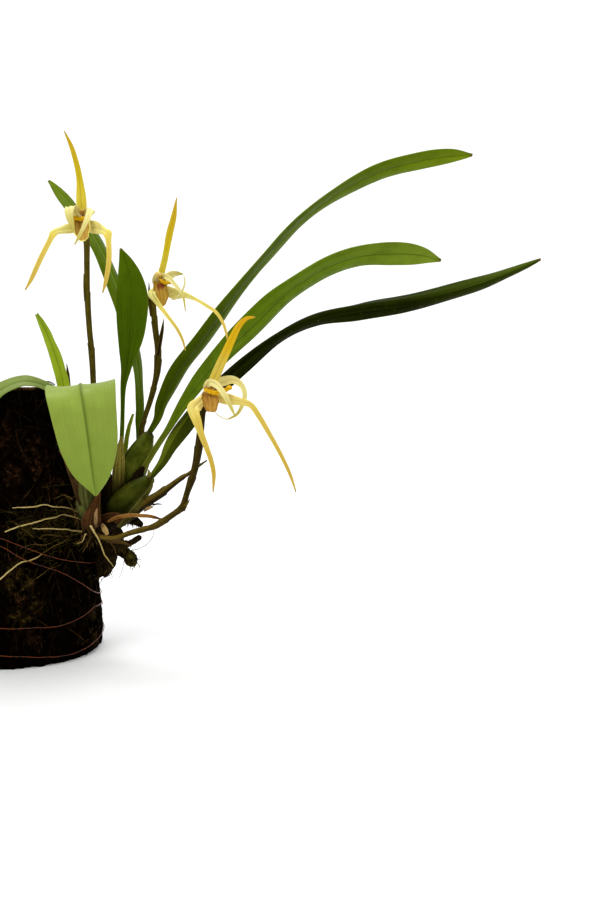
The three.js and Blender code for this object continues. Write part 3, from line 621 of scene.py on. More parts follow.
@dataclass(frozen=True)
class Papery(Finish):
    """Dry papery sheath with long fibres and stains."""

    light: Tone
    body: Tone
    dark: Tone
    foot: float = 0.8

    def paint(self, g: Graph) -> None:
        """Lay the nodes of the sheath's material."""
        _across, along, off = g.sheet()
        fibre = g.noise(g.grain(30, 1.2), 1.0, 5, 0.7)
        colour = g.ramp(fibre, [(0.25, self.dark), (0.48, self.body), (0.72, self.light)])
        stain = g.noise(g.spot(), 220, 4, 0.65)
        colour = g.mix(g.span(stain, 0.5, 0.7, 0.0, 0.75), colour, self.dark)
        colour = g.mix(g.span(along, 0.0, 0.6, self.foot, 0.0), colour, self.dark)
        colour = g.mix(g.span(off, 0.85, 1.0, 0.0, 0.5), colour, self.light)
        g.surface(Base_Color=colour, Roughness=0.72, Normal=g.bump(fibre, 0.7, 0.25),
                  Specular_IOR_Level=0.08, Specular_Tint=POLLEN)


@dataclass(frozen=True)
class Bark(Finish):
    """Matted tree-fern fibre: near black, with brown flecks and mossy patches."""

    pit: Tone
    body: Tone
    fleck: Tone
    moss: Rows = ()
    rust: Rows = ()
    sawn_edge: tuple[float, float] = (0.1296, 0.1312)

    def paint(self, g: Graph) -> None:
        """Lay the nodes of the log's material."""
        fibre = g.noise(g.spot(1, 1, 0.22), 900, 5, 0.7, 0.4)
        lump = g.noise(g.spot(), 210, 5, 0.7)
        grit = g.noise(g.spot(), 1600, 3, 0.7)
        colour = g.ramp(lump, [(0.4, self.pit), (0.6, self.body), (0.78, self.fleck)])
        broad = g.math("MULTIPLY", g.span(fibre, 0.52, 0.7, 0.0, 0.6), g.span(lump, 0.48, 0.62))
        colour = g.mix(broad, colour, self.fleck)
        colour = g.mix(g.span(grit, 0.36, 0.5, 0.85, 0.0), colour, self.pit)
        crust = g.noise(g.spot(), 300, 5, 0.75)
        for spots, low, body, high in (
                (self.rust, tone(14, 7, 3), tone(36, 20, 10), tone(80, 54, 34)),
                (self.moss, tone(20, 14, 4), tone(50, 38, 12), tone(104, 82, 40))):
            cover: Socket | float = 0.0
            for x, y, z, radius in spots:
                away = g.node("VectorMath", {0: g.spot(), 1: (x * MM, y * MM, z * MM)},
                              operation="DISTANCE").outputs["Value"]
                near = g.span(away, radius * 0.3 * MM, radius * MM, 1.0, 0.0)
                cover = g.math("MAXIMUM", cover, near)
            share = g.math("MULTIPLY", cover, g.span(crust, 0.46, 0.58))
            paint = g.ramp(crust, [(0.46, low), (0.58, body), (0.72, high)])
            colour = g.mix(g.math("MULTIPLY", share, 0.9), colour, paint)
        level = g.node("SeparateXYZ", {0: g.spot()}).outputs[2]
        sawn = g.math("MULTIPLY", g.span(level, *self.sawn_edge), g.span(lump, 0.4, 0.6))
        colour = g.mix(g.math("MULTIPLY", sawn, 0.7), colour, tone(112, 80, 50))
        height = g.math("ADD", g.math("MULTIPLY", lump, 0.8), g.math("MULTIPLY", fibre, 0.9))
        normal = g.bump(height, 0.8, 0.9)
        normal = g.bump(grit, 0.7, 0.3, normal)
        g.surface(Base_Color=colour, Roughness=1.0, Normal=normal, Specular_IOR_Level=0.0)


@dataclass(frozen=True)
class Fleck(Finish):
    """Small rough thing whose colour changes from place to place."""

    dark: Tone
    light: Tone
    scale: float = 300.0
    rough: float = 0.8

    def paint(self, g: Graph) -> None:
        """Lay the nodes of the mottled material."""
        broad = g.noise(g.spot(), self.scale, 4, 0.7)
        fine = g.noise(g.spot(), self.scale * 6, 3, 0.6)
        body = g.mix(g.span(broad, 0.36, 0.64), self.dark, self.light)
        body = g.mix(g.span(fine, 0.5, 0.7, 0.0, 0.5), body, self.dark)
        g.surface(Base_Color=body, Roughness=self.rough, Normal=g.bump(fine, 0.6, 0.25),
                  Specular_IOR_Level=0.05, Specular_Tint=POLLEN)


@dataclass(frozen=True)
class Wire(Finish):
    """Bare copper wire, dulled in places."""

    metal: Tone
    dull: Tone

    def paint(self, g: Graph) -> None:
        """Lay the nodes of the wire's material."""
        stain = g.noise(g.spot(), 420, 4, 0.65)
        g.surface(Base_Color=g.mix(g.span(stain, 0.45, 0.62), self.metal, self.dull),
                  Metallic=g.span(stain, 0.42, 0.62, 0.8, 0.3),
                  Roughness=g.span(stain, 0.3, 0.7, 0.34, 0.6))


@dataclass(frozen=True)
class Ground(Finish):
    """Plain pale studio floor."""

    colour: Tone

    def paint(self, g: Graph) -> None:
        """Lay the nodes of the floor's material."""
        grain = g.noise(g.spot(), 30, 2, 0.5)
        body = g.mix(g.span(grain, 0.3, 0.7, 0.0, 0.04), self.colour, tone(225, 225, 225))
        g.surface(Base_Color=body, Roughness=0.85, Specular_IOR_Level=0.2)


class Wardrobe:
    """Makes each finish's material once."""

    def __init__(self) -> None:
        """Start with nothing made."""
        self.made: dict[str, bpy.types.Material] = {}

    def dress(self, piece: bpy.types.Object, finish: Finish) -> None:
        """Give a piece its finish.

        Args:
            piece: Mesh to dress.
            finish: Its finish.
        """
        if finish.name not in self.made:
            self.made[finish.name] = finish.material()
        piece.data.materials.clear()
        piece.data.materials.append(self.made[finish.name])


WARDROBE = Wardrobe()


class Slot(Enum):
    """Finish slots of the part's record."""

    FIBRE = "fibre"
    COPPER = "copper"
    ROOT = "root"
    BULB = "bulb"
    BLADE = "blade"
    BLADE_PALE = "blade_pale"
    SHOOT = "shoot"
    HUSK = "husk"
    STRAW = "straw"
    SCAPE = "scape"
    SEPAL = "sepal"
    SEPAL_DEEP = "sepal_deep"
    PETAL = "petal"
    LIP = "lip"
    COLUMN = "column"


def settle(piece: bpy.types.Object, slot: Slot, *nodes: str) -> bpy.types.Object:
    """Fix a finished piece to the part.

    Args:
        piece: Finished piece.
        slot: Its finish slot; not used.
        nodes: Solids that it stands for.

    Returns:
        The piece.
    """
    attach(piece, "root")
    if nodes:
        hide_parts(*nodes)
    log.info("%s: %d faces", piece.name, len(piece.data.polygons))
    return piece


def settle_strands(name: str, paths: Sequence[Rows], finish: Finish, slot: Slot,
                   sides: int = 4) -> None:
    """Make, dress and settle a piece of strands.

    Args:
        name: Name of the piece.
        paths: For each strand, rows of x, y, z and radius in millimetres.
        finish: Its finish.
        slot: Its finish slot.
        sides: Sides of each strand.
    """
    piece = strands(name, paths, sides)
    WARDROBE.dress(piece, finish)
    settle(piece, slot)


# Forms


class Form:
    """Grid laid by a rule: a sheet with a wall, or a rolled skin with closed seams."""

    name: str
    finish: Finish
    cells: tuple[int, int]
    wall = 0.0
    sharp = 50.0

    def place(self, u: float, v: float) -> Vector:
        """Point in millimetres at a share along and a share across."""
        raise NotImplementedError

    def build(self) -> bpy.types.Object:
        """Make and dress the form."""
        piece = lay_grid(self.name, *self.cells, self.place)
        if self.wall:
            thicken(piece, self.wall)
        else:
            close_seams(piece)
        soften(piece, self.sharp)
        WARDROBE.dress(piece, self.finish)
        return piece


@dataclass
class Blade(Form):
    """Folded leaf, sepal or petal.

    A row is x, y, z of the midrib, the width of one half, and how far the left and right
    halves turn out of the plane that faces the front, in degrees; one number stands for
    both turns where they are the same.
    """

    name: str
    rows: Rows
    finish: Finish
    fronts: Sequence[Row] = (FRONT,)
    across: Row | None = None
    cells: tuple[int, int] = (20, 150)
    wall: float = 0.55
    bow: float = 0.05
    wave: float = 0.25
    waves: float = 6.0
    groove: float = 0.3
    roll: float = 0.0
    tear: float = 0.0
    seed: float = 0.0
    least: float = 0.16
    sharp = 60.0

    def __post_init__(self) -> None:
        """Prepare the midrib and the cache of stations."""
        self.curve = Spline([(*row, row[-1])[:6] for row in self.rows])
        self.stations: dict[float, tuple] = {}

    def facing(self, u: float) -> Vector:
        """Direction that the blade faces at a share of its length."""
        place = u * (len(self.fronts) - 1)
        i = min(int(place), max(len(self.fronts) - 2, 0))
        after = self.fronts[min(i + 1, len(self.fronts) - 1)]
        return Vector(self.fronts[i]).lerp(Vector(after), place - i).normalized()

    def station(self, u: float) -> tuple:
        """Midrib point, directions and half width at a share of the length."""
        key = round(u, 6)
        if key not in self.stations:
            x, y, z, half, turn_left, turn_right = self.curve.at(u)
            ahead = self.curve.heading(u)
            if self.across is not None:
                right = Vector(self.across)
                right = (right - ahead * right.dot(ahead)).normalized()
            else:
                right = ahead.cross(self.facing(u)).normalized()
            out = right.cross(ahead).normalized()
            a, b = math.radians(turn_left), math.radians(turn_right)
            left_wing = out * math.sin(a) - right * math.cos(a)
            right_wing = out * math.sin(b) + right * math.cos(b)
            left_face, right_face = ahead.cross(left_wing), right_wing.cross(ahead)
            ridge = (left_face + right_face).normalized()
            self.stations[key] = (Vector((x, y, z)), max(half, self.least), left_wing, right_wing,
                                  left_face, right_face, ridge, (a + b) / 2)
        return self.stations[key]

    def place(self, u: float, v: float) -> Vector:
        """Point of the blade's middle sheet."""
        if self.tear:
            u *= 1 - self.tear * (0.5 + 0.5 * ripple(v * 3.1 + self.seed, self.seed, 0.0))
        spot, half, left_wing, right_wing, left_face, right_face, ridge, bend = self.station(u)
        wing, face = (left_wing, left_face) if v < 0 else (right_wing, right_face)
        side = abs(v)
        reach = half * side
        fold = bell(reach, 0.22 * half + 0.2)
        point = spot + wing * reach
        point += ridge * (fold * math.sin(bend) * 0.28 * half)
        point += face * (self.bow * half * 4 * side * (1 - side))
        point -= face * (self.roll * half * side**3)
        point -= ridge * (self.groove * bell(reach, 0.5))
        if self.wave:
            swing = math.sin(math.tau * self.waves * u + self.seed + (1.9 if v < 0 else 0.0))
            swing += 0.6 * ripple(u * self.waves * 1.7, self.seed, 4.0 if v < 0 else 0.0, 2)
            envelope = min(1.0, 5 * u) * min(1.0, 6 * (1 - u)) * min(1.0, half / 3)
            point += face * (self.wave * swing * side**2 * envelope)
        return point


@dataclass
class Stalk(Form):
    """Round stem along a smooth path, with a sheath's slanted lip at each joint.

    A row is x, y, z and the radius there.
    """

    name: str
    rows: Rows
    finish: Finish
    cells: tuple[int, int] = (18, 150)
    joints: Sequence[float] = ()
    flare: float = 0.2
    slant: float = 1.4
    knobs: float = 0.0
    wander: float = 0.0
    tip: float = 0.0
    seed: float = 0.0

    def __post_init__(self) -> None:
        """Work out the stations along the stem."""
        self.curve = Spline(self.rows)
        _around, along = self.cells
        self.frames: list[tuple[Vector, Vector, Vector, Vector]] = []
        side: Vector | None = None
        for i in range(along + 1):
            u = i / along
            spot = Vector(self.curve.at(u)[:3])
            ahead = self.curve.heading(u)
            if side is None:
                side = UP if abs(ahead.dot(UP)) < 0.9 else Vector((1.0, 0.0, 0.0))
            side = (side - ahead * side.dot(ahead)).normalized()
            self.frames.append((spot, ahead, side.copy(), ahead.cross(side)))
        self.length = sum((self.frames[i + 1][0] - self.frames[i][0]).length for i in range(along))

    def sleeve(self, u: float) -> tuple[float, float]:
        """Share of the way up the sheath at a place, and that sheath's turn."""
        marks = [0.0, *self.joints, 1.0]
        for i in range(len(marks) - 1):
            if u <= marks[i + 1] or i == len(marks) - 2:
                return (u - marks[i]) / max(marks[i + 1] - marks[i], 1e-6), 2.4 * i + self.seed
        return 1.0, 0.0

    def place(self, u: float, v: float) -> Vector:
        """Point of the stem's skin."""
        _around, along = self.cells
        angle = math.pi * (v + 1)
        spot, ahead, side, third = self.frames[round(u * along)]
        radius = max(self.curve.at(u)[3], 0.08)
        shift = 0.0
        if self.joints:
            share, turn = self.sleeve(u)
            radius *= 1 + self.flare * (share**3 - 0.25)
            near = max(0.0, 2 * abs(share - 0.5) - 0.35) / 0.65
            lean = turn if share > 0.5 else turn - 2.4
            shift = self.slant * near * near * math.cos(angle - lean)
            if u < 0.02 or u > 0.985:
                shift = 0.0
        if self.knobs:
            radius *= 1 + self.knobs * ripple(math.cos(angle) * 0.9 + self.seed,
                                              math.sin(angle) * 0.9, u * self.length / 3.2, 3)
        if self.tip and u > 1 - self.tip:
            radius *= math.sqrt(max(1 - ((u - 1 + self.tip) / self.tip) ** 2, 0.0)) * 0.92 + 0.08
        point = spot + (side * math.cos(angle) + third * math.sin(angle)) * radius + ahead * shift
        if self.wander:
            k = u * self.length / 5.0
            sway = Vector((ripple(k, self.seed, 0), ripple(k, self.seed, 7),
                           ripple(k, self.seed, 13)))
            point += sway * (self.wander * min(1.0, 8 * (1 - u)))
        return point


@dataclass
class Sheath(Form):
    """Dry sheath: a thin shell open on one side, with a torn edge.

    A row is x, y, z of its axis, the radius and half of the angle that it wraps.
    """

    name: str
    rows: Rows
    finish: Finish
    facing: Row = FRONT
    cells: tuple[int, int] = (30, 60)
    wall: float = 0.3
    tear: float = 0.18
    crease: float = 0.35
    seed: float = 0.0
    sharp = 60.0

    def __post_init__(self) -> None:
        """Prepare the sheath's axis."""
        self.curve = Spline(self.rows)

    def place(self, u: float, v: float) -> Vector:
        """Point of the sheath's middle sheet."""
        u *= 1 - self.tear * max(0.0, ripple(v * 4.0, self.seed, 2.0))
        x, y, z, radius, wrap = self.curve.at(u)
        ahead = self.curve.heading(u)
        face = Vector(self.facing)
        face = (face - ahead * face.dot(ahead)).normalized()
        side = ahead.cross(face)
        angle = math.radians(max(wrap, 4.0)) * v
        radius += self.crease * ripple(v * 3.5, u * 1.5, self.seed) + 0.12 * math.sin(v * 26)
        radius += 0.6 * self.crease * u * u
        return Vector((x, y, z)) + (face * math.cos(angle) + side * math.sin(angle)) * radius


BULB_PROFILE = (
    (-0.06, 0.3), (0, 0.6), (0.12, 0.86), (0.3, 1), (0.5, 0.98), (0.7, 0.82), (0.86, 0.58),
    (0.97, 0.34), (1, 0.22))


@dataclass
class Pseudobulb(Form):
    """Flattened fleshy bulb from its base to its apex."""

    name: str
    base: Row
    apex: Row
    half_width: float
    half_depth: float
    finish: Finish
    cells: tuple[int, int] = (56, 72)
    seed: float = 0.0

    def __post_init__(self) -> None:
        """Prepare the bulb's profile and axes."""
        self.profile = Spline(BULB_PROFILE)
        self.axis = Vector(self.apex) - Vector(self.base)
        ahead = self.axis.normalized()
        self.side = ahead.cross(Vector(FRONT)).normalized()
        self.depth = self.side.cross(ahead)

    def place(self, u: float, v: float) -> Vector:
        """Point of the bulb's skin."""
        t, girth = self.profile.at(u)
        angle = math.pi * (v + 1)
        c, s = math.cos(angle), math.sin(angle)
        grooves = 0.022 * math.sin(7 * angle + self.seed) + 0.014 * math.sin(13 * angle + 3 * t)
        lumps = 0.045 * ripple(c * 1.4 + self.seed, s * 1.4, t * 1.6)
        girth *= 1 + (grooves + lumps) * math.sin(math.pi * min(max(t, 0.0), 1.0)) ** 0.7
        if t > 0.94:
            girth += 0.05 * bell(t - 0.965, 0.012)
        point = Vector(self.base) + self.axis * t
        point += self.side * (c * girth * self.half_width)
        return point + self.depth * (s * girth * self.half_depth)


def hollow(azimuth: float, z: float) -> float:
    """Depth in millimetres of the log's worn side at an azimuth in degrees and a height."""
    off = (azimuth - 12 + 180) % 360 - 180
    return 1.7 * bell(off, 30) * bell(z - 33, 15)


@dataclass
class TieWire(Form):
    """One closed turn of wire round the log, lifted where it passes over a root."""

    name: str
    turn: Rows
    finish: Finish
    lifts: Rows = ()
    orbit: float = 42.15
    radius: float = 0.2
    cells: tuple[int, int] = (10, 400)
    sharp = 80.0

    def height(self, azimuth: float) -> float:
        """Height of the wire at an azimuth in degrees."""
        turn, n = self.turn, len(self.turn)
        i = 0
        while i < n - 1 and turn[i + 1][0] <= azimuth:
            i += 1

        def lap(k: int) -> tuple[float, float]:
            """Azimuth and height of point k, carried on round the log."""
            return turn[k % n][0] + 360 * (k // n), turn[k % n][1]

        p0, p1, p2, p3 = lap(i - 1), lap(i), lap(i + 1), lap(i + 2)
        u = (azimuth - p1[0]) / (p2[0] - p1[0])
        m1 = (p2[1] - p0[1]) / (p2[0] - p0[0]) * (p2[0] - p1[0])
        m2 = (p3[1] - p1[1]) / (p3[0] - p1[0]) * (p2[0] - p1[0])
        return between(u, p1[1], p2[1], m1, m2)

    def spot(self, share: float) -> Vector:
        """Point of the wire's centre line at a share of the turn."""
        azimuth = self.turn[0][0] + 360 * (share % 1.0)
        reach = self.orbit + sum(lift * bell(azimuth - place, spread)
                                 for place, lift, spread in self.lifts)
        a = math.radians(azimuth)
        reach += 0.12 * ripple(math.cos(a) * 6, math.sin(a) * 6, self.turn[0][1])
        reach -= 0.75 * hollow(azimuth, self.height(azimuth))
        rise = 0.3 * ripple(math.cos(a) * 5, math.sin(a) * 5, self.turn[0][1] + 40)
        return Vector((reach * math.cos(a), reach * math.sin(a), self.height(azimuth) + rise))

    def place(self, u: float, v: float) -> Vector:
        """Point of the wire's skin."""
        spot = self.spot(u)
        ahead = (self.spot(u + 0.001) - self.spot(u - 0.001)).normalized()
        side = ahead.cross(UP).normalized()
        angle = math.pi * (v + 1)
        return spot + (side * math.cos(angle) + ahead.cross(side) * math.sin(angle)) * self.radius


# Finishes of this plant

# High leaf: left 0.85 paints shade on one half and right 1.1 paints light on the other.
LEAF_HIGH = Foliage("leaf_high_green", tone(60, 76, 0), tone(84, 104, 12), tone(112, 132, 18),
    tone(50, 66, 0), 0.85, 1.1, shine=0.02)
# Middle leaf: left 0.86 and right 0.96 paint shade on its halves, deeper on the left.
LEAF_MIDDLE = Foliage("leaf_middle_green", tone(106, 102, 34), tone(86, 112, 10),
    tone(122, 142, 40), tone(46, 64, 0), 0.86, 0.96, shine=0.05)
# Low leaf: the near-black middle colour is painted shade, and left 1.5 and right 0.7 paint light
# on its upper half and shade on its lower half.
LEAF_LOW = Foliage("leaf_low_green_painted_shade", tone(72, 80, 14), tone(15, 19, 0), tone(62, 76, 18),
    tone(12, 15, 0), 1.5, 0.7, shine=0.01)
LEAF_UPRIGHT = Foliage("leaf_upright_green", tone(88, 100, 12), tone(54, 76, 0), tone(78, 102, 4),
    tone(92, 118, 18))
LEAF_REAR = Foliage("leaf_rear_green", tone(56, 78, 2), tone(76, 98, 4), tone(100, 120, 10),
    tone(126, 146, 40), shine=0.04)
# Front leaf: right=0.94 paints shade on its right half.
LEAF_FRONT = Foliage("leaf_front_green", tone(112, 130, 48), tone(134, 153, 62),
    tone(122, 142, 54), tone(76, 96, 28), right=0.94, gloss=0.36, dry=0.999, cloud=0.1)
LEAF_STRAP = Foliage("leaf_strap_green", tone(166, 178, 54), tone(140, 160, 34),
    tone(122, 144, 30), tone(126, 146, 26), cloud=0.12)
LEAF_DRAPED = Foliage("leaf_draped_green", tone(70, 84, 30), tone(118, 134, 66),
    tone(116, 134, 60), tone(88, 104, 40), gloss=0.34, cloud=0.15)
# Front petiole: the near-black rib colour is painted shadow in the channel down its middle.
LEAF_PETIOLE = Foliage("leaf_petiole_green", tone(112, 112, 62), tone(84, 84, 42),
    tone(50, 50, 24), tone(22, 24, 8), gloss=0.5, dry=0.999, shine=0.02)
SHOOT_GREEN = Foliage("young_shoot_green", tone(150, 160, 36), tone(128, 146, 28),
    tone(118, 136, 26), tone(100, 120, 22))
BULB_GREEN = Bulb("pseudobulb_green", tone(36, 40, 1), tone(66, 68, 12), tone(18, 11, 2))
BULB_LIT = Bulb("pseudobulb_lit", tone(45, 52, 2), tone(84, 90, 22), tone(24, 18, 3))
BULB_GREY = Bulb("pseudobulb_grey", tone(44, 48, 16), tone(84, 84, 42), tone(26, 18, 7))
STALK_OLIVE = Stem("stalk_olive", tone(58, 50, 8), tone(84, 74, 14), tone(34, 24, 4))
# under paints shade down one side of the right stalk, the spike and the claws.
STALK_DARK = Stem("stalk_dark", tone(108, 86, 28), tone(30, 23, 4), tone(18, 12, 2), under=0.6)
SPIKE_BROWN = Stem("spike_brown", tone(84, 66, 22), tone(96, 80, 24), tone(22, 12, 3), under=1.0)
CLAW_BROWN = Stem("claw_brown", tone(64, 44, 16), tone(92, 66, 28), tone(28, 18, 6), 0.8,
    under=0.5)
FIBRE_DARK = Fleck("fibre_dark", tone(3, 1, 0), tone(24, 14, 7), 220)
FIBRE_PALE = Fleck("fibre_pale", tone(22, 14, 6), tone(74, 50, 26), 220)
CRUMB_BROWN = Fleck("crumb_brown", tone(5, 3, 1), tone(44, 31, 12), 420)
MOSS_OLIVE = Fleck("moss_olive", tone(16, 12, 3), tone(62, 50, 20), 300)
RHIZOME_DARK = Fleck("rhizome_dark", tone(7, 4, 1), tone(34, 24, 10), 280)
ROOT_PALE = Stem("root_pale", tone(204, 182, 118), tone(156, 134, 76), tone(70, 54, 24), 0.8)
ROOT_DULL = Fleck("root_dull", tone(30, 22, 9), tone(86, 68, 32), 200)
HAIR_DARK = Fleck("hair_dark", tone(14, 10, 4), tone(44, 34, 18), 300)
KNOB_MOSS = Fleck("knob_moss", tone(14, 9, 2), tone(66, 60, 18), 240)
MAT_OLIVE = Fleck("mat_olive", tone(20, 17, 4), tone(66, 58, 22), 240)
HUSK_BROWN = Papery("husk_brown", tone(104, 74, 42), tone(56, 36, 18), tone(18, 10, 4))
HUSK_RED = Papery("husk_red", tone(118, 76, 42), tone(66, 38, 19), tone(15, 8, 3))
HUSK_DARK = Papery("husk_dark", tone(46, 30, 15), tone(18, 11, 4), tone(7, 4, 1))
HUSK_CREAM = Papery("husk_cream", tone(190, 158, 112), tone(142, 108, 70), tone(70, 46, 26))
STRAW_PALE = Papery("straw_pale", tone(178, 166, 84), tone(110, 102, 34), tone(20, 15, 2), 1.0)
BRACT_ORANGE = Papery("bract_orange", tone(200, 154, 84), tone(144, 96, 42), tone(74, 42, 14))
SCRAP_PALE = Papery("scrap_pale", tone(206, 176, 116), tone(170, 136, 82), tone(96, 68, 36))
SPIKE_EDGE = Papery("spike_edge", tone(142, 142, 76), tone(72, 70, 20), tone(40, 33, 8), 0.6)
COPPER = Wire("tie_copper", tone(112, 52, 17), tone(28, 12, 4))

SEPAL_YELLOW = Tepal("sepal_yellow", tone(212, 196, 66), tone(202, 182, 30), tone(192, 158, 34),
    0.4)
SEPAL_SIDE = Tepal("sepal_side", tone(236, 228, 138), tone(224, 206, 96), tone(202, 170, 72), 0.5)
SEPAL_DEEP = Tepal("sepal_deep", tone(208, 188, 80), tone(208, 172, 24), tone(208, 156, 20), 0.45)
SEPAL_DEEP_SIDE = Tepal("sepal_deep_side", tone(224, 206, 116), tone(214, 190, 86),
    tone(192, 158, 58), 0.45)
PETAL_CREAM = Tepal("petal_cream", tone(228, 216, 142), tone(228, 218, 150), tone(190, 178, 76),
    0.5)
COLUMN_CREAM = Tepal("column_cream", tone(228, 216, 138), tone(206, 172, 84), tone(134, 78, 24),
    0.88)
LIP_OCHRE = LipSkin("lip_ochre", tone(200, 162, 74), tone(150, 108, 34), tone(232, 216, 112))
LIP_MARKED = LipSkin("lip_marked", tone(202, 166, 70), tone(158, 114, 32), tone(150, 104, 30), 0.5,
    0.9)
LIP_BROWN = LipSkin("lip_brown", tone(196, 152, 66), tone(146, 98, 30), tone(140, 92, 28), 0.6)
CREST_YELLOW = Fleck("crest_yellow", tone(206, 150, 10), tone(232, 190, 34), 700, 0.45)


# The log


@dataclass
class FibreLog:
    """Upright log of matted tree-fern fibre with sawn ends, its moss and its wires."""

    radius: float = 41.3
    limit: float = 42.1
    lift_limit: float = 42.9
    rim: float = 42.95
    height: float = 131.5
    base_end: float = 0.1
    top_start: float = 0.88
    cells: tuple[int, int] = (420, 190)
    dark_fibres: int = 900
    pale_fibres: int = 150
    lone_crumbs: int = 150
    heaps: Sequence[tuple[int, int, float, int]] = ((-12, 20, 2.5, 14), (-13, 7, 2, 12))
    patches: Rows = (
        (-72, 41, 9), (-76, 47, 6), (-73, 24, 7), (-62, 30, 5), (-66, 68, 6), (-52, 66, 7),
        (-12, 20, 5), (-14, 6, 5), (-40, 62, 5), (20, 70, 7), (95, 40, 9), (150, 80, 8),
        (210, 30, 8), (250, 100, 6), (60, 110, 7))
    rust: Rows = (
        (-57, 96, 10), (-48, 86, 8), (-64, 104, 8), (-75, 92, 7), (-40, 76, 7), (-82, 110, 8),
        (-70, 36, 8), (-66, 14, 6), (-25, 104, 9), (40, 60, 10), (100, 100, 11), (150, 40, 12),
        (200, 90, 11), (255, 50, 10), (20, 100, 9))
    turns: Sequence[tuple[str, Rows, Rows]] = (
        ("top", (
            (-84, 62.3), (-66, 56.3), (-47, 50.5), (-24, 46.3), (-5, 44.4), (30, 46), (75, 53),
            (120, 62), (165, 68), (205, 70.5), (240, 69.5), (260, 66)), ((-58, 1.5, 6),)),
        ("upper", (
            (-84, 58.3), (-72, 53), (-60, 48.6), (-47, 44.6), (-32, 38), (-11, 29.5), (20, 26),
            (65, 29), (115, 38), (165, 49), (210, 58), (245, 62)), ((-68, 1.5, 6),)),
        ("lower", (
            (-85, 20), (-67, 19.4), (-47, 18.5), (-30, 20.3), (-13, 22.6), (20, 20.5), (65, 18.5),
            (115, 20), (165, 24), (205, 25), (240, 23)), ()),
        ("bottom", (
            (-76, 6.6), (-60, 4.9), (-44, 3.7), (-27, 4.2), (-5, 6.8), (30, 9), (75, 10),
            (120, 11), (165, 11), (205, 10), (240, 8.6)), ()))

    def reach(self, azimuth: float, z: float) -> float:
        """Radius of the bark at an azimuth in radians and a height."""
        x, y = self.radius * math.cos(azimuth), self.radius * math.sin(azimuth)
        relief = 0.75 * ripple(x / 9, y / 9, z / 11, 4)
        relief += 0.45 * ripple(x / 2.1 + 9, y / 2.1, z / 10, 2)
        gaps, _points = noise.voronoi(Vector((x / 6, y / 6, z / 8)))
        relief -= 1.1 * max(0.0, 0.4 - gaps[0]) / 0.4 + hollow(math.degrees(azimuth), z)
        top = max(0.0, 1 - (self.height - z) / 3.5)
        foot = max(0.0, 1 - z / 4.5)
        chips = 0.5 + ripple(x / 6, y / 6, 3.0)
        relief -= (0.5 + 1.1 * max(chips, 0.0)) * top**2 + (0.6 + 1.8 * max(chips, 0.0)) * foot**2
        return min(self.radius + relief, self.limit)

    def spot(self, azimuth: float, z: float, lift: float = 0.0) -> Vector:
        """Point on the bark, or a little off it; the azimuth is in degrees."""
        a = math.radians(azimuth)
        reach = min(self.reach(a, z) + lift, self.lift_limit)
        return Vector((reach * math.cos(a), reach * math.sin(a), z))

    def hold_in(self, point: Vector) -> Vector:
        """Move a point in to the log's outermost reach where it lies past it."""
        reach = math.hypot(point.x, point.y)
        if reach > self.rim:
            point.x, point.y = point.x * self.rim / reach, point.y * self.rim / reach
        return point

    def place(self, u: float, v: float) -> Vector:
        """Point of the log's skin: base, bark and top in turn."""
        a = math.pi * (v + 1)
        if u < self.base_end:
            reach = self.reach(a, 0.0) * (u / self.base_end)
            return Vector((reach * math.cos(a), reach * math.sin(a), 0.0))
        if u > self.top_start:
            share = (1 - u) / (1 - self.top_start)
            reach = self.reach(a, self.height) * share
            x, y = reach * math.cos(a), reach * math.sin(a)
            sunk = 0.45 + 0.55 * ripple(x / 3.2, y / 3.2, 1.0, 4)
            return Vector((x, y, self.height - max(sunk, 0.0) * min(1.0, 3 * share)))
        z = self.height * (u - self.base_end) / (self.top_start - self.base_end)
        reach = self.reach(a, z)
        return Vector((reach * math.cos(a), reach * math.sin(a), z))

    def bark_finish(self) -> Bark:
        """Finish of the bark, with its mossy patches."""
        def lay(spots: Rows) -> list[list[float]]:
            """Centres and sizes of patches given by azimuth, height and size."""
            return [[*self.spot(azimuth, z), size] for azimuth, z, size in spots]

        return Bark("log_bark", tone(2, 1, 0), tone(8, 4, 2), tone(40, 25, 12), lay(self.patches),
                    lay(self.rust))

    def fibres(self, draw: random.Random, count: int, light: bool) -> list[list[list[float]]]:
        """Paths of loose fibres lying on the bark.

        Args:
            draw: Seeded random numbers.
            count: How many fibres.
            light: Whether they are the finer, paler ones.

        Returns:
            Rows of x, y, z and radius for each fibre.
        """
        paths = []
        for _ in range(count):
            azimuth, z = draw.uniform(0, 360), draw.uniform(2, self.height - 3)
            lean, length = draw.gauss(0, 0.5), draw.uniform(5, 20 if light else 15)
            curl = draw.gauss(0, 0.07)
            girth = draw.uniform(0.09, 0.17) if light else draw.uniform(0.15, 0.34)
            steps = 8
            loose = draw.choice((0.1, 0.25, 0.5, 1.0))
            rows = []
            for i in range(steps + 1):
                share = i / steps
                lift = girth * 0.3 + loose * (2 * share - 1) ** 2 * 0.7
                point = self.spot(azimuth, min(max(z, 0.6), self.height - 0.3), lift)
                rows.append([*point, girth * (1 - 0.65 * share)])
                lean += curl
                azimuth += math.degrees(math.sin(lean) * length / steps / self.radius)
                z += math.cos(lean) * length / steps
            paths.append(rows)
        return paths

    def tufts(self, draw: random.Random) -> list[list[list[float]]]:
        """Paths of moss blades in the patches."""
        paths = []
        for azimuth, z, size in self.patches:
            for _ in range(int(size * 9)):
                turn = draw.gauss(azimuth, size * 0.55)
                level = min(max(draw.gauss(z, size * 0.45), 0.8), self.height - 1)
                base = self.spot(turn, level, -0.1)
                outward = Vector((base.x, base.y, 0)).normalized()
                for _blade in range(4):
                    lean = Vector((draw.gauss(0, 1), draw.gauss(0, 1), draw.gauss(0.3, 1))) * 0.5
                    tip = base + (outward * 0.5 + lean) * draw.uniform(0.5, 1.1)
                    self.hold_in(tip)
                    tip.z = max(tip.z, 0.2)
                    middle = base.lerp(tip, 0.5) + outward * 0.08
                    paths.append([[*base, 0.13], [*middle, 0.12], [*tip, 0.03]])
        return paths

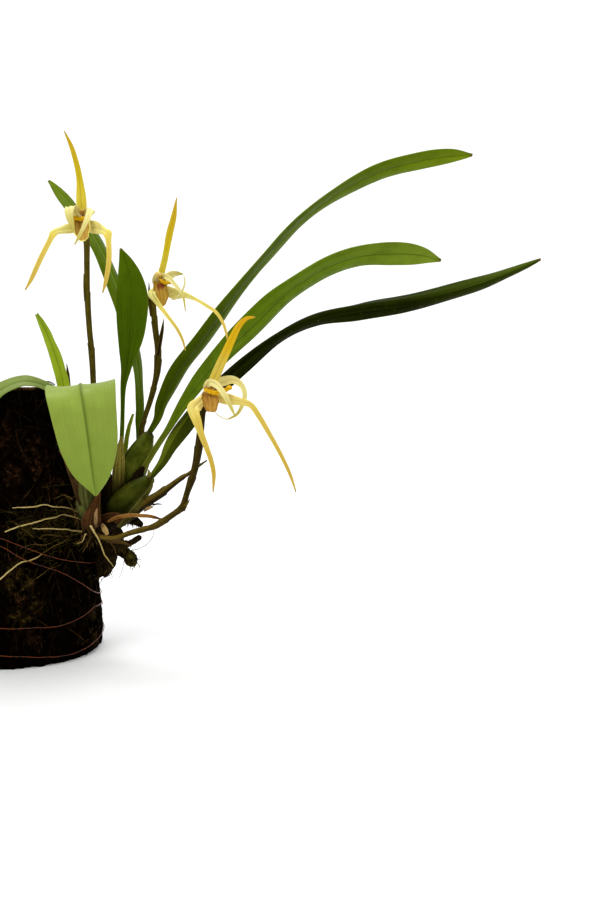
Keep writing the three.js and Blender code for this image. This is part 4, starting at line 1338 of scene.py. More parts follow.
    def crumbs(self, draw: random.Random) -> bpy.types.Object:
        """Lumps of fibre and moss that sit on the bark."""
        clear_selection()
        bpy.ops.mesh.primitive_ico_sphere_add(subdivisions=2, radius=1.0)
        pattern = bpy.context.object
        shape = [vertex.co.copy() for vertex in pattern.data.vertices]
        corners = [tuple(face.vertices) for face in pattern.data.polygons]
        bpy.data.objects.remove(pattern)
        spots = [(draw.uniform(0, 360), draw.uniform(3, self.height - 3.5), draw.uniform(0.5, 1.1))
                 for _ in range(self.lone_crumbs)]
        for azimuth, level, spread, count in self.heaps:
            spots += [(draw.gauss(azimuth, 3), draw.gauss(level, spread), draw.uniform(0.6, 1.2))
                      for _ in range(count)]
        points: list[Vector] = []
        faces: list[tuple[int, ...]] = []
        for turn, z, size in spots:
            centre = self.spot(turn, max(z, 2.0), -0.35 * size)
            first = len(points)
            stretch = Vector((draw.uniform(0.7, 1.2), draw.uniform(0.7, 1.2),
                              draw.uniform(0.8, 1.7)))
            for co in shape:
                swell = 1 + 0.4 * ripple(co.x * 1.3 + turn, co.y * 1.3 + z, co.z * 1.3)
                lump = Vector((co.x * stretch.x, co.y * stretch.y, co.z * stretch.z))
                point = centre + lump * (size * swell)
                points.append(self.hold_in(point) * MM)
            faces.extend(tuple(first + k for k in face) for face in corners)
        return from_points("log_crumbs", points, faces, 70)

    def build(self) -> None:
        """Make the log, its fibres, moss and crumbs, and its tie wires."""
        bark = lay_grid("log_bark", *self.cells, self.place)
        close_seams(bark)
        soften(bark, 75)
        WARDROBE.dress(bark, self.bark_finish())
        settle(bark, Slot.FIBRE, "fibre_log")
        draw = random.Random(5)
        dark = self.fibres(draw, self.dark_fibres, False)
        settle_strands("log_fibres_dark", dark, FIBRE_DARK, Slot.FIBRE)
        pale = self.fibres(draw, self.pale_fibres, True)
        settle_strands("log_fibres_pale", pale, FIBRE_PALE, Slot.FIBRE)
        crumbs = self.crumbs(draw)
        WARDROBE.dress(crumbs, CRUMB_BROWN)
        settle(crumbs, Slot.FIBRE)
        settle_strands("log_moss", self.tufts(draw), MOSS_OLIVE, Slot.FIBRE, 3)
        for label, turn, lifts in self.turns:
            wire = TieWire(f"wire_{label}", turn, COPPER, lifts).build()
            settle(wire, Slot.COPPER, f"tie_wire_{label}")


# Rhizome, roots and bulbs


def on_bark(pairs: Rows, orbit: float = 42.15, girth: float = 0.32) -> list[list[float]]:
    """Rows of a root that lies on the bark.

    Args:
        pairs: Azimuth in degrees, height, and the radius where it differs.
        orbit: Distance from the log's axis.
        girth: Usual radius of the root.

    Returns:
        Rows of x, y, z and radius.
    """
    rows = []
    for azimuth, z, *rest in pairs:
        a = math.radians(azimuth)
        rows.append([orbit * math.cos(a), orbit * math.sin(a), z, rest[0] if rest else girth])
    return rows


@dataclass
class RootStock:
    """Creeping rhizome, the roots and claws that grow from it, and the pseudobulbs."""

    trunks: Sequence[Rows] = (
        ((41, -33, 65.5, 2.6), (45, -31, 65, 3.4), (48.6, -26.5, 65.5, 3.6), (52, -20, 67.3, 3.6),
         (54.2, -13.5, 74.5, 3.3), (55.3, -5, 77.8, 3.2), (54, 6, 77, 3)),
        ((50, -16, 67, 4), (52, -14, 58.5, 4.1), (54.6, -13.6, 53, 3.6), (57.6, -14, 49.4, 2.9),
         (60.3, -14, 47.1, 2.9), (62.6, -14, 45.8, 2.2)),
        ((48, -22, 66, 3.6), (43, -20, 60.5, 3.6), (38.5, -18.5, 58, 3)),
        ((52, -12, 72, 3.4), (46.5, -9, 67, 3.6), (40.5, -7.5, 63.5, 3)),
        ((49, -14, 62, 4), (49.4, -11.5, 54, 4.3), (48.4, -9.5, 47.5, 3.6), (46.8, -8.6, 41, 2.3),
         (45.2, -8, 36.8, 1)),
        ((47, -29, 63.5, 1.8), (54.5, -29, 59.2, 1.7), (60.5, -28, 57.2, 1.5),
         (67, -26, 60.6, 1.5)),
        ((58, -23, 67.5, 1.8), (62, -24, 68, 2), (65, -24.6, 67, 1.9), (67.4, -24.6, 65.4, 1.2)),
        ((45.6, -10, 64, 2.6), (45.4, -9, 56, 3.2), (44.4, -8, 48, 3.2), (43.4, -7, 42, 2.9),
         (42.2, -6, 36.5, 1.6)))
    roots: Sequence[tuple[Rows, Rows]] = (
        (((-76, 76.2, 0.15), (-66, 76.1, 0.28), (-57, 76.8, 0.28), (-50, 75.5, 0.26),
          (-43, 74.8, 0.26), (-36, 73.2, 0.3)),
         ((38.6, -26, 70.6, 0.4), (42, -28.4, 68, 0.5), (46, -28, 66, 0.6))),
        (((-81, 65.2, 0.25), (-72, 67.2), (-62, 69), (-50, 70.4, 0.26), (-42, 71, 0.26)),
         ((39.6, -25, 68, 0.4), (46, -25.5, 66, 0.6))),
        (((-64, 66, 0.14), (-56.7, 65.6, 0.24), (-43.5, 64.4, 0.3), (-36, 63, 0.3)),
         ((40.5, -22, 62, 0.4), (44, -21, 62.5, 0.6))),
        (((-87, 41.6, 0.3), (-79, 46.6), (-72, 50.2), (-64, 51.6), (-58.5, 53.8, 0.22)), ()))
    rootlets: Sequence[tuple[Rows, Rows]] = (
        (((-59.5, 53.4, 0.24), (-50.5, 56.7, 0.26), (-43, 58.8, 0.26), (-34, 61, 0.26)),
         ((42, -20, 62, 0.5),)),
        (((-36, 57, 0.15), (-31, 57.4), (-27.5, 59.6)), ((42, -21, 62, 0.5),)),
        (((-31, 52.8, 0.15), (-26.5, 54.6), (-22, 58)), ((42, -17, 61, 0.5),)),
        (((-80.4, 69.6, 0.12), (-76.3, 69.8, 0.22), (-72.8, 68.3, 0.22), (-68, 65, 0.18),
          (-63, 62, 0.1)),
         ()),
        (((-55.2, 79.1, 0.12), (-47.9, 79.6, 0.24), (-43, 80.8, 0.28)),
         ((34.5, -27.6, 78.5, 0.4),)),
        (((-67.7, 40, 0.12), (-60.4, 43.3, 0.2), (-54.1, 46.1, 0.2), (-46, 47.7, 0.12)), ()),
        (((-60, 61.5, 0.1), (-55, 62.6, 0.2), (-48, 61.6, 0.2), (-40, 60.8, 0.24)), ()),
        (((-72, 57, 0.1), (-64, 58.6, 0.18), (-55, 58, 0.2), (-47, 60, 0.12)), ()),
        (((-46, 81.6, 0.1), (-41, 79.6, 0.25), (-37, 75, 0.28)), ((36, -29, 71.6, 0.3),)))
    free: Sequence[Rows] = (
        ((44.6, -35.4, 67.6, 0.7), (45.8, -36.2, 65.6, 0.46), (48.2, -33.6, 59.9, 0.36),
         (49.6, -28.6, 52.9, 0.34), (51.1, -25.4, 48.9, 0.32), (52.6, -22.4, 45.3, 0.2)),
        ((42.6, -33.6, 64, 0.4), (41.9, -35.4, 61.8, 0.22), (40.6, -35, 59.3, 0.2),
         (37.8, -33.6, 58.3, 0.08)))
    claws: Sequence[Rows] = (
        ((45.6, -31, 63, 0.5), (43.6, -33.4, 60, 0.3), (42.2, -32.6, 57, 0.26),
         (39.8, -30.4, 53.6, 0.1)),
        ((47.5, -33, 62.6, 0.9), (51.4, -33.4, 60.4, 1), (55.6, -33, 59.2, 0.95),
         (59.3, -32.4, 58.6, 0.8), (62.4, -31.6, 57.4, 0.25)),
        ((50, -28, 61.5, 0.5), (52.4, -28.6, 58.2, 0.3), (54, -27, 55, 0.28),
         (54.6, -25, 51.6, 0.1)))
    knob: Rows = (
        (59.1, -15, 51.4, 1.4), (59.4, -15, 49.6, 2.6), (59.8, -15, 47.2, 2.9), (60, -15, 45, 2.4),
        (59.9, -15, 43.8, 1.2))
    thatch: Sequence[Rows] = (
        ((40.4, -33.4, 84, 1.6), (39.6, -33.4, 77, 1.5), (38.8, -32, 69, 1.6),
         (39.6, -30.6, 61, 1.6)),
        ((38, -32, 76, 1), (37.4, -31, 71, 1), (37.6, -29.6, 65, 1)))
    hairs: Sequence[Rows] = (
        ((73.6, -30, 64.2, 0.12), (72.6, -30, 60.4, 0.16), (69.2, -27, 56.5, 0.16),
         (64.5, -22, 53.7, 0.17), (59.9, -17, 52.2, 0.2)),
        ((52.8, -12, 36.6, 0.1), (54.5, -13, 40, 0.14), (55.7, -13, 44.4, 0.16),
         (56.4, -12, 49, 0.2)),
        ((23.8, -32.5, 134.1, 0.2), (25.6, -30, 134, 0.3), (27.6, -28.5, 132.6, 0.3)))
    bulbs: Sequence[tuple[str, Row, Row, float, float]] = (
        ("front", (42.7, -31, 69.2), (42.3, -32.6, 88.4), 4.9, 4.3),
        ("upper", (53.6, -11, 77.6), (69.2, -11, 109.4), 7, 4.7),
        ("lower", (51.8, -22, 70.9), (72.2, -24, 88.7), 6, 4.6),
        ("rear", (53.5, 7, 80.6), (60.2, 9, 102), 5.2, 4.2),
        ("inner", (42.6, -20.6, 71), (41, -22, 92), 3.9, 3.7))

    def mat(self, bark: FibreLog) -> list[list[list[float]]]:
        """Paths of the fine roots that mat the bark near the plant."""
        draw = random.Random(21)
        paths = []
        for _ in range(150):
            azimuth, z = draw.uniform(-74, -8), draw.gauss(65, 6.5)
            heading, turn = draw.choice((0.0, math.pi)) + draw.gauss(0, 0.5), draw.gauss(0, 0.16)
            length, girth = draw.uniform(5, 16), draw.uniform(0.09, 0.2)
            rows = []
            for i in range(9):
                lift = draw.uniform(0.0, 0.5)
                rows.append([*bark.spot(azimuth, z, lift), girth * (1 - 0.07 * i)])
                heading += turn + draw.gauss(0, 0.12)
                azimuth += math.degrees(math.cos(heading) * length / 8 / bark.radius)
                z += math.sin(heading) * length / 8
            paths.append(rows)
        return paths

    def beard(self) -> list[list[list[float]]]:
        """Paths of the short dead roots round the rhizome."""
        draw = random.Random(8)
        paths = []
        for rows in (*self.trunks, *self.thatch):
            curve = Spline(rows)
            for _ in range(26):
                x, y, z, radius = curve.at(draw.uniform(0.05, 0.95))
                way = Vector((draw.gauss(0, 1), draw.gauss(-0.2, 1), draw.gauss(-0.5, 1)))
                way.normalize()
                spot = Vector((x, y, z)) + way * radius * 0.8
                girth = draw.uniform(0.12, 0.3)
                strand = []
                for i in range(6):
                    strand.append([*spot, girth * (1 - 0.14 * i)])
                    droop = Vector((draw.gauss(0, 0.3), draw.gauss(0, 0.3), -0.22))
                    way = (way + droop).normalized()
                    spot = spot + way * draw.uniform(0.5, 1.0)
                paths.append(strand)
        return paths

    def build(self, bark: FibreLog) -> None:
        """Make the rhizome, roots, hairs and bulbs."""
        core = [Stalk(f"trunk_{i}", rows, RHIZOME_DARK, (26, 46), knobs=0.28, seed=i * 3.1,
                      tip=0.12, wander=0.3).build() for i, rows in enumerate(self.trunks)]
        settle(join("rhizome", core), Slot.ROOT, "rhizome_with_roots")
        runs = []
        for i, (pairs, rest) in enumerate((*self.roots, *self.rootlets)):
            rows = [*on_bark(pairs), *rest]
            finish = ROOT_PALE if i < len(self.roots) else ROOT_DULL
            runs.append(Stalk(f"root_{i}", rows, finish, (10, 24 * len(rows)), knobs=0.22,
                              wander=0.35, seed=i * 1.7).build())
        for i, rows in enumerate((*self.free, *self.claws)):
            finish = ROOT_PALE if i < len(self.free) else CLAW_BROWN
            runs.append(Stalk(f"root_free_{i}", rows, finish, (12, 20 * len(rows)), knobs=0.2,
                              wander=0.3, seed=9.3 + i).build())
        settle(join("roots", runs), Slot.ROOT)
        knob = Stalk("root_knob", self.knob, KNOB_MOSS, (40, 50), knobs=0.22, tip=0.1, seed=2.2)
        settle(knob.build(), Slot.ROOT)
        settle_strands("root_mat", self.mat(bark), MAT_OLIVE, Slot.ROOT)
        settle_strands("root_beard", self.beard(), ROOT_DULL, Slot.ROOT)
        curves = [Spline(rows) for rows in self.hairs]
        fine = [[curve.at(i / 24) for i in range(25)] for curve in curves]
        settle_strands("root_hairs", fine, HAIR_DARK, Slot.ROOT, 5)
        for i, (label, base, apex, width, depth) in enumerate(self.bulbs):
            finish = {"front": BULB_GREY, "upper": BULB_LIT}.get(label, BULB_GREEN)
            bulb = Pseudobulb(f"bulb_{label}", base, apex, width, depth, finish, seed=i * 2.3)
            settle(bulb.build(), Slot.BULB, f"pseudobulb_{label}")


# Leaves

Piece = tuple[Form, Slot, tuple[str, ...]]


def leaves() -> list[Piece]:
    """Every leaf with its slot and the solids that it stands for."""
    return [
        (Blade("front_leaf", (
            (42.6, -33, 86, 1.6, -45), (43.7, -38.5, 97, 3.5, -40), (45, -47, 108, 7, -28),
            (47.3, -60, 121, 10.5, -16), (50, -73, 129.8, 13, -8), (52.4, -84, 132.5, 14, -2),
            (54.4, -92, 130.6, 14, -5), (56.6, -97.5, 125.2, 13.6, -9),
            (58.4, -100, 116.7, 12.8, -12), (59.8, -101.1, 107.2, 11.3, -14),
            (60.8, -101.1, 97.5, 7.6, -14), (61.5, -100, 88.8, 0.6, -10)), LEAF_FRONT,
            across=(0.995, 0, 0.1), cells=(28, 150), wave=0.35, waves=4, groove=0.55, bow=0.03),
            Slot.BLADE_PALE, ("leaf_front",)),
        (Blade("front_petiole", (
            (41.6, -34.6, 92, 2, 40), (42, -36.4, 86.6, 2.4, 42), (42.4, -37.4, 81.6, 2.5, 40),
            (43, -37.2, 77.4, 1.6, 30), (43.4, -36.4, 74, 0.2, 15)), LEAF_PETIOLE, cells=(16, 70),
            wall=0.4, wave=0.0, groove=0.6), Slot.BLADE_PALE, ()),
        (Blade("high_leaf", (
            (67.6, -11, 107.6, 1.5, -48), (72.6, -10.5, 115.6, 2.2, -30, -50),
            (76.3, -10, 124.8, 4, 15, -70), (84.3, -9, 138.6, 6.5, 37, -80),
            (95.1, -7.5, 153, 7.3, 48, -82), (109.2, -4, 173.2, 7.6, 65, -84),
            (125, 0, 193.6, 7.6, 74, -85), (142.8, 4, 213.5, 7.5, 78, -84),
            (162.7, 8, 228.7, 7.5, 71, -79), (183, 12, 239.3, 7, 63, -73),
            (203.5, 16, 245.8, 6, 53, -62), (219.1, 19, 248.9, 4.5, 52, -58),
            (230.9, 21, 250.1, 0.6, 45, -45)), LEAF_HIGH, cells=(20, 230)), Slot.BLADE,
            ("leaf_high",)),
        (Blade("middle_leaf", (
            (58.4, -15.6, 79.8, 1.4, -45), (61.2, -16, 84.5, 1.5, -48),
            (65.8, -16.8, 90.6, 1.7, -48), (72.5, -17.5, 101.7, 1.8, -45, -50),
            (79.9, -18, 112.3, 2, -30, -55), (88.2, -17.5, 125.3, 3.4, 15, -60),
            (97.3, -17, 136.8, 5.5, 31, -65), (109.8, -16, 150.2, 7.2, 30, -68),
            (123.2, -14.5, 162.8, 7.8, 15, -70), (137.7, -13, 177.2, 7.8, 48, -67),
            (154.6, -11, 188.3, 7.5, 55, -67), (171.7, -8, 194.6, 7.2, 50, -60),
            (188.9, -5.5, 196.3, 6.5, 36, -46), (201.4, -3, 196.2, 4.8, 42, -28),
            (212.1, -1, 193.8, 0.6, 30, -30)), LEAF_MIDDLE, cells=(22, 230)), Slot.BLADE,
            ("leaf_middle",)),
        (Blade("low_leaf", (
            (70.8, -24, 87.8, 1.4, -45), (76.6, -23, 95.6, 2.4, -38), (80.7, -20.5, 103.8, 4, -43),
            (86.6, -17.5, 113.8, 6, -56, -44), (96.5, -14, 127.2, 7.2, -74, -43),
            (113.3, -10.5, 144.2, 7.6, -83, -37), (132.7, -7, 157.9, 7.6, -84, -59),
            (152.4, -3, 166.7, 7.8, -74, -62), (172.4, 2, 171.5, 7.6, -78, -30),
            (192.9, 8, 173.8, 7.2, -60, -48), (213.9, 14, 177.8, 6.5, -42, -60),
            (235.4, 20, 184.2, 5.2, -35, -62), (252.9, 25, 191.2, 3.5, -42, -62),
            (268.9, 29, 198.4, 0.6, -40)), LEAF_LOW, cells=(22, 230)), Slot.BLADE, ("leaf_low",)),
        (Blade("upright_leaf", (
            (55.2, -17.4, 78.6, 1.4, 45), (55.7, -18.6, 88, 1.4, 48), (56.5, -20, 97, 1.3, 48),
            (57.6, -22, 108.7, 1.3, 48), (58.3, -23, 120.6, 1.3, 48), (59.1, -24, 132.5, 1.8, 44),
            (60.7, -25, 140.5, 3, 36), (62.4, -26, 148.9, 5.2, 28), (63.8, -26.5, 159.2, 7.3, 24),
            (64.4, -26.5, 170.3, 7.9, 20), (63.6, -26, 180.1, 6.7, 20), (61.4, -25, 188.6, 4, 18),
            (58.3, -24, 196.4, 0.5, 15)), LEAF_UPRIGHT, cells=(24, 190)), Slot.BLADE,
            ("leaf_upright",)),
        (Blade("rear_leaf", (
            (60.1, 9, 100.4, 1.5, -42), (60.6, 9.5, 112, 2.1, -20, -50),
            (60.9, 10.5, 122, 2.7, 50, -62), (59.7, 12.7, 140.5, 4.4, 66, -74),
            (55.2, 16.5, 160, 6.5, 61, -78), (48.2, 20, 182.5, 7, 59, -78),
            (38.9, 22.5, 204, 6.7, 57, -76), (28.2, 25, 219.5, 5.9, 53, -72),
            (19, 26.5, 231, 4, 45, -62), (11.6, 28, 238.7, 0.6, 40, -40)), LEAF_REAR,
            cells=(20, 180)), Slot.BLADE, ("leaf_rear",)),
        (Blade("strap_leaf", (
            (40.5, -25.9, 77.5, 1.6, 40), (39.5, -29, 90, 1.9, 42), (38.4, -33.5, 104, 2.3, 40),
            (36.4, -37, 119, 2.8, 34), (34.2, -38, 132.5, 3.2, 30), (32.4, -37, 139.6, 3.2, 30),
            (28.8, -34, 148.6, 2.9, 32), (25.7, -31, 154.8, 2.5, 34), (22.4, -28, 160.5, 2, 34),
            (18.8, -25.1, 165.6, 0.9, 30)), LEAF_STRAP, cells=(16, 130)), Slot.BLADE_PALE,
            ("leaf_strap",)),
        (Blade("draped_leaf", (
            (41, -22.2, 92.5, 1.7, 42), (39.4, -23.6, 104, 1.9, 38), (36.4, -28.4, 116, 2.1, 32),
            (31.8, -33.2, 125.6, 2.2, 24), (25.4, -37.6, 131.8, 2.8, 14),
            (16.3, -42, 133.8, 4.3, 10), (7.3, -46.5, 129.6, 5.4, 10), (-1, -50, 122, 5.6, 12),
            (-7.5, -52.5, 112, 4.4, 14), (-11, -54, 100.5, 0.6, 10)), LEAF_DRAPED, fronts=(
            (0.88, -0.47, 0), (0.85, -0.52, 0), (0.8, -0.6, 0.1), (0.66, -0.7, 0.25),
            (0.35, -0.65, 0.65), (0, -0.5, 0.85), (-0.15, -0.6, 0.75), (-0.3, -0.85, 0.4),
            (-0.35, -0.92, 0.2), (-0.35, -0.93, 0.1)), cells=(22, 130)), Slot.BLADE,
            ("leaf_draped",)),
        (Blade("shoot", (
            (53.8, -2.6, 80.4, 1.5, 42), (53.6, -1.4, 87, 1.5, 42), (54.4, -1, 95, 1.5, 42),
            (55.6, 0, 104, 1.4, 42), (56.6, 1, 110.5, 1.2, 40), (57.6, 2, 114.5, 0.9, 36),
            (58.6, 3, 118, 0.5, 30)), SHOOT_GREEN, cells=(12, 70)), Slot.SHOOT, ("young_shoot",))]


# Stalks and sheaths


def scrap(name: str, rows: Rows, finish: Finish, cells: tuple[int, int] = (8, 30),
          wave: float = 0.3, waves: float = 2.0, wall: float = 0.3, **more: float) -> Blade:
    """Thin bract, husk or torn scrap without a midrib.

    Args:
        name: Name of the piece.
        rows: Its midline, as a blade's rows.
        finish: Its finish.
        cells: Cells across and along.
        wave: Height of its waves in millimetres.
        waves: How many waves it has.
        wall: Thickness in millimetres.
        more: Other fields of the blade.

    Returns:
        The scrap.
    """
    return Blade(name, rows, finish, cells=cells, wall=wall, wave=wave, waves=waves, groove=0.0,
                 **more)


def stalks() -> list[tuple[list[Form], str, str]]:
    """Each flower stalk's parts, its piece name and the solid that it stands for."""
    left = Stalk("left_stem", (
        (46.6, -25, 70.4, 1.3), (45.8, -24, 87.3, 1.35), (45.1, -24, 111.2, 1.35),
        (44.6, -24, 134.9, 1.4), (44, -24, 149, 1.45), (43.2, -24, 158.4, 1.4),
        (42.5, -24, 172.4, 1.35), (42.4, -24, 186.4, 1.4), (42.5, -24, 198.9, 1.35),
        (41.6, -23, 206, 1.3), (40.7, -21.6, 209.6, 1.2)), STALK_OLIVE, (20, 260),
        (0.2, 0.42, 0.62, 0.815), seed=0.6)
    middle = Stalk("middle_stem", (
        (57, -3, 80.2, 1.5), (62.4, -1, 90, 1.5), (63.5, -2, 109.1, 1.4), (65, -3, 115.1, 1.3),
        (68.5, -4, 125.1, 1.4), (70.5, -4, 132.5, 1.45), (72, -4, 139.9, 1.75),
        (72.5, -4, 149.7, 1.75), (71.7, -5, 157, 1.5), (70.8, -5, 166.8, 1.5),
        (70.6, -5, 175.6, 1.4), (72.4, -6.4, 181.2, 1.2)), STALK_OLIVE, (20, 220),
        (0.26, 0.44, 0.6, 0.8), seed=2.0)
    right = Stalk("right_stem", (
        (46.4, -31.6, 62.4, 1.2), (49.4, -33.2, 61.3, 1.2), (56.3, -36, 61.3, 1.2),
        (63.6, -38, 64, 1.25), (71, -40, 66.2, 1.3), (75.7, -41, 67.7, 1.6),
        (80.5, -42, 70.7, 1.6), (85.3, -43, 74, 1.5), (87.6, -43, 75.7, 1.6),
        (89.1, -43, 77.2, 1.75), (89.7, -43, 79.3, 1.55), (91, -43, 83.7, 1.4),
        (93.2, -43, 90.1, 1.7), (94.9, -43, 96.1, 1.75), (96.1, -43, 102.9, 1.8),
        (97, -42, 110.6, 1.75), (98.2, -41, 119.6, 1.25), (99.5, -40.5, 127.4, 1.1)), STALK_DARK,
        (20, 260), (0.24, 0.353, 0.525, 0.71, 0.84), seed=1.2)
    spike = Stalk("spike_stem", (
        (56.5, -28.5, 65.4, 1.3), (59.6, -28.5, 68, 1.6), (63.4, -29.5, 71.4, 1.8),
        (68.2, -31, 75.6, 2.1), (72, -31.5, 78.5, 2.3), (76.6, -31.5, 81.3, 2),
        (81.4, -31.5, 84.9, 1.6), (86.2, -31.5, 88.5, 1.2), (89.9, -31.5, 90.8, 0.9),
        (94.7, -31.5, 94.4, 0.7), (98.9, -31.5, 97.4, 0.25)), SPIKE_BROWN, (20, 150),
        (0.22, 0.38, 0.55, 0.75), 0.25, 1.9, seed=0.3)
    return [
        ([left, scrap("left_tip", (
            (42, -24.9, 172, 1, 25, -35), (41.7, -25.1, 179, 0.9, 25, -35),
            (41.1, -25.1, 184.6, 0.08, 10, -10)), STALK_OLIVE, wave=0.0, least=0.08)],
            "stalk_left", "scape_left"),
        ([middle, scrap("middle_tip_a", (
            (71.8, -5.4, 143, 1.3, 40, -50), (73.6, -6.2, 152.4, 1.2, 35, -45),
            (75.2, -8, 159.3, 0.8, 30, -35), (76.1, -9, 164.6, 0.1, 10, -10)), SPIKE_BROWN,
            wave=0.0, least=0.08), scrap("middle_tip_b", (
            (70, -5.8, 166, 1.2, 40, -50), (68.9, -6.2, 174, 0.9, 35, -40),
            (68.7, -6.6, 183, 0.08, 10, -10)), STALK_DARK, wave=0.0, least=0.08)], "stalk_middle",
            "scape_middle"),
        ([right, scrap("right_tip", (
            (86.6, -43.6, 74, 1.1, 30, -40), (89.8, -44.2, 77.2, 0.9, 30, -40),
            (92.4, -45, 80.6, 0.1, 10, -10)), STALK_OLIVE, wave=0.0, least=0.08)], "stalk_right",
            "scape_right"),
        ([spike, scrap("spike_wing", (
            (57.6, -33.4, 66, 0.8, 30, -30), (62.4, -33.6, 71, 1.4, 30, -30),
            (67.2, -33.4, 76.8, 1.4, 30, -30), (70.5, -32, 81.2, 1.1, 25, -25),
            (72.6, -30, 85, 0.65, 20, -20), (73, -28.4, 88.6, 0.1, 10, -10)), SPIKE_EDGE, wave=0.0,
            least=0.08)], "spike", "young_spike")]


def wrappings() -> list[Piece]:
    """Sheaths, bracts and small scraps with their slots and the solids that they stand for."""
    return [
        (Sheath("straw_sheath", (
            (54.6, -18.4, 79, 3, 110), (55, -19.2, 88, 2.9, 106), (55.8, -20.2, 96, 2.4, 92),
            (56.8, -21.2, 103, 1.9, 55), (57.6, -22, 108.5, 1.7, 8)), STRAW_PALE, tear=0.08,
            crease=0.2), Slot.STRAW, ("sheath_upright_leaf",)),
        (Sheath("front_husk", (
            (44.6, -32.4, 62, 2, 86), (43.9, -31.6, 66, 4.4, 76), (43.8, -31.4, 70.4, 5.2, 56),
            (44.6, -31.3, 75, 5.1, 34), (46, -31.3, 79.4, 4.8, 18), (47.8, -31.2, 83.2, 4.5, 3)),
            HUSK_RED, (0.46, -0.89, 0), cells=(30, 80), tear=0.05, crease=0.2, seed=3.0),
            Slot.HUSK, ("sheath_front",)),
        (scrap("left_husk", (
            (40.4, -35.4, 76, 0.5, -20, 30), (39.8, -36.6, 81, 1.5, -20, 30),
            (38.6, -37.4, 86.6, 2, -20, 30), (36.6, -38.6, 94, 1.7, -15, 25),
            (34.2, -39.4, 99.8, 1.1, -10, 20), (31.6, -39.6, 102.6, 0.2, 0)), HUSK_BROWN,
            cells=(18, 70), wave=0.5, waves=3, tear=0.04, seed=1.0), Slot.HUSK, ("sheath_left",)),
        (Sheath("old_husk", (
            (50, -15, 69.5, 4.6, 86), (50.3, -15.2, 77, 4.8, 84), (50.8, -15.6, 83, 4.6, 64),
            (51.2, -16, 88, 4.3, 36), (51.6, -16.4, 92, 4.1, 6)), HUSK_DARK, (-0.25, -1, 0),
            tear=0.1, seed=11.0), Slot.HUSK, ("sheath_old",)),
        (Sheath("middle_leaf_husk", (
            (57, -16, 76, 2.6, 110), (60.5, -16.6, 82.5, 2.6, 110), (64, -17.2, 88, 2.4, 84),
            (67.5, -17.6, 93.5, 2.2, 12)), HUSK_DARK, tear=0.08, crease=0.2, seed=12.0), Slot.HUSK,
            ("sheath_middle_leaf",)),
        (scrap("lower_bract", (
            (49, -30.4, 69.6, 1.9, 20, -30), (54.6, -31, 70.1, 2.9, 20, -35),
            (58, -31, 69.6, 2.3, 20, -30), (62, -30.4, 68.4, 0.2, 0)), HUSK_RED, cells=(16, 50),
            wave=0.4, tear=0.08, seed=2.0), Slot.HUSK, ("bract_lower",)),
        (scrap("dry_bract", (
            (52.6, -34, 68.6, 0.5, 30, -40), (56.2, -35.4, 70.5, 0.9, 25, -40),
            (62, -36.4, 71.9, 1, 25, -40), (68.2, -37, 72, 0.95, 20, -35),
            (73.8, -37, 71.5, 0.85, 15, -25), (79.2, -37, 70, 0.15, 0)), BRACT_ORANGE,
            cells=(14, 80), wave=0.4, waves=4, tear=0.05, seed=5.0), Slot.STRAW, ("bract_dry",)),
        (scrap("cream_flap", (
            (47.7, -37, 66.6, 0.3, 20, -20), (47.8, -37.8, 69.6, 0.75, 20, -20),
            (47.9, -37.8, 72.8, 0.7, 20, -20), (48.4, -37, 75.6, 0.12, 10, -10)), HUSK_CREAM,
            cells=(12, 40), tear=0.05, seed=6.0), Slot.HUSK, ()),
        (scrap("pale_flap", (
            (49.6, -33.4, 67.4, 0.7, 30, -20), (51.2, -34.6, 65.4, 1.5, 30, -20),
            (52.6, -34.4, 62.4, 0.8, 20, -20)), SCRAP_PALE, cells=(12, 30), wall=0.35, tear=0.1,
            seed=7.0), Slot.STRAW, ()),
        (scrap("apex_scrap", (
            (70.6, -27.4, 88, 0.5, 20, -20), (71.2, -27.8, 90.4, 0.9, 20, -20),
            (70.8, -27.2, 92.8, 0.15, 10, -10)), STRAW_PALE, cells=(10, 26), tear=0.1, seed=14.0),
            Slot.STRAW, ()),
        (scrap("spike_scrap", (
            (69.6, -33.6, 73.6, 0.3, 30, -20), (71.4, -34.4, 74.9, 0.75, 30, -20),
            (74, -34, 75.9, 0.3, 10, -10)), SCRAP_PALE, cells=(10, 26), wave=0.2, seed=8.0),
            Slot.STRAW, ()),
        (scrap("spike_thorn", (
            (73.6, -33, 76.4, 0.3, 20, -20), (75.6, -33.4, 77, 0.35, 20, -20),
            (78, -33, 76.8, 0.1, 10, -10)), HUSK_DARK, cells=(8, 20), wave=0.0, least=0.1,
            seed=9.0), Slot.HUSK, ()),
        (scrap("strap_scrap", (
            (36.2, -36.4, 131, 0.7, 30, -30), (35.8, -36.6, 137, 0.7, 30, -30),
            (35, -35.6, 142.4, 0.1, 10, -10)), HUSK_BROWN, cells=(8, 26), wave=0.0, seed=10.0),
            Slot.HUSK, ())]


# Flowers


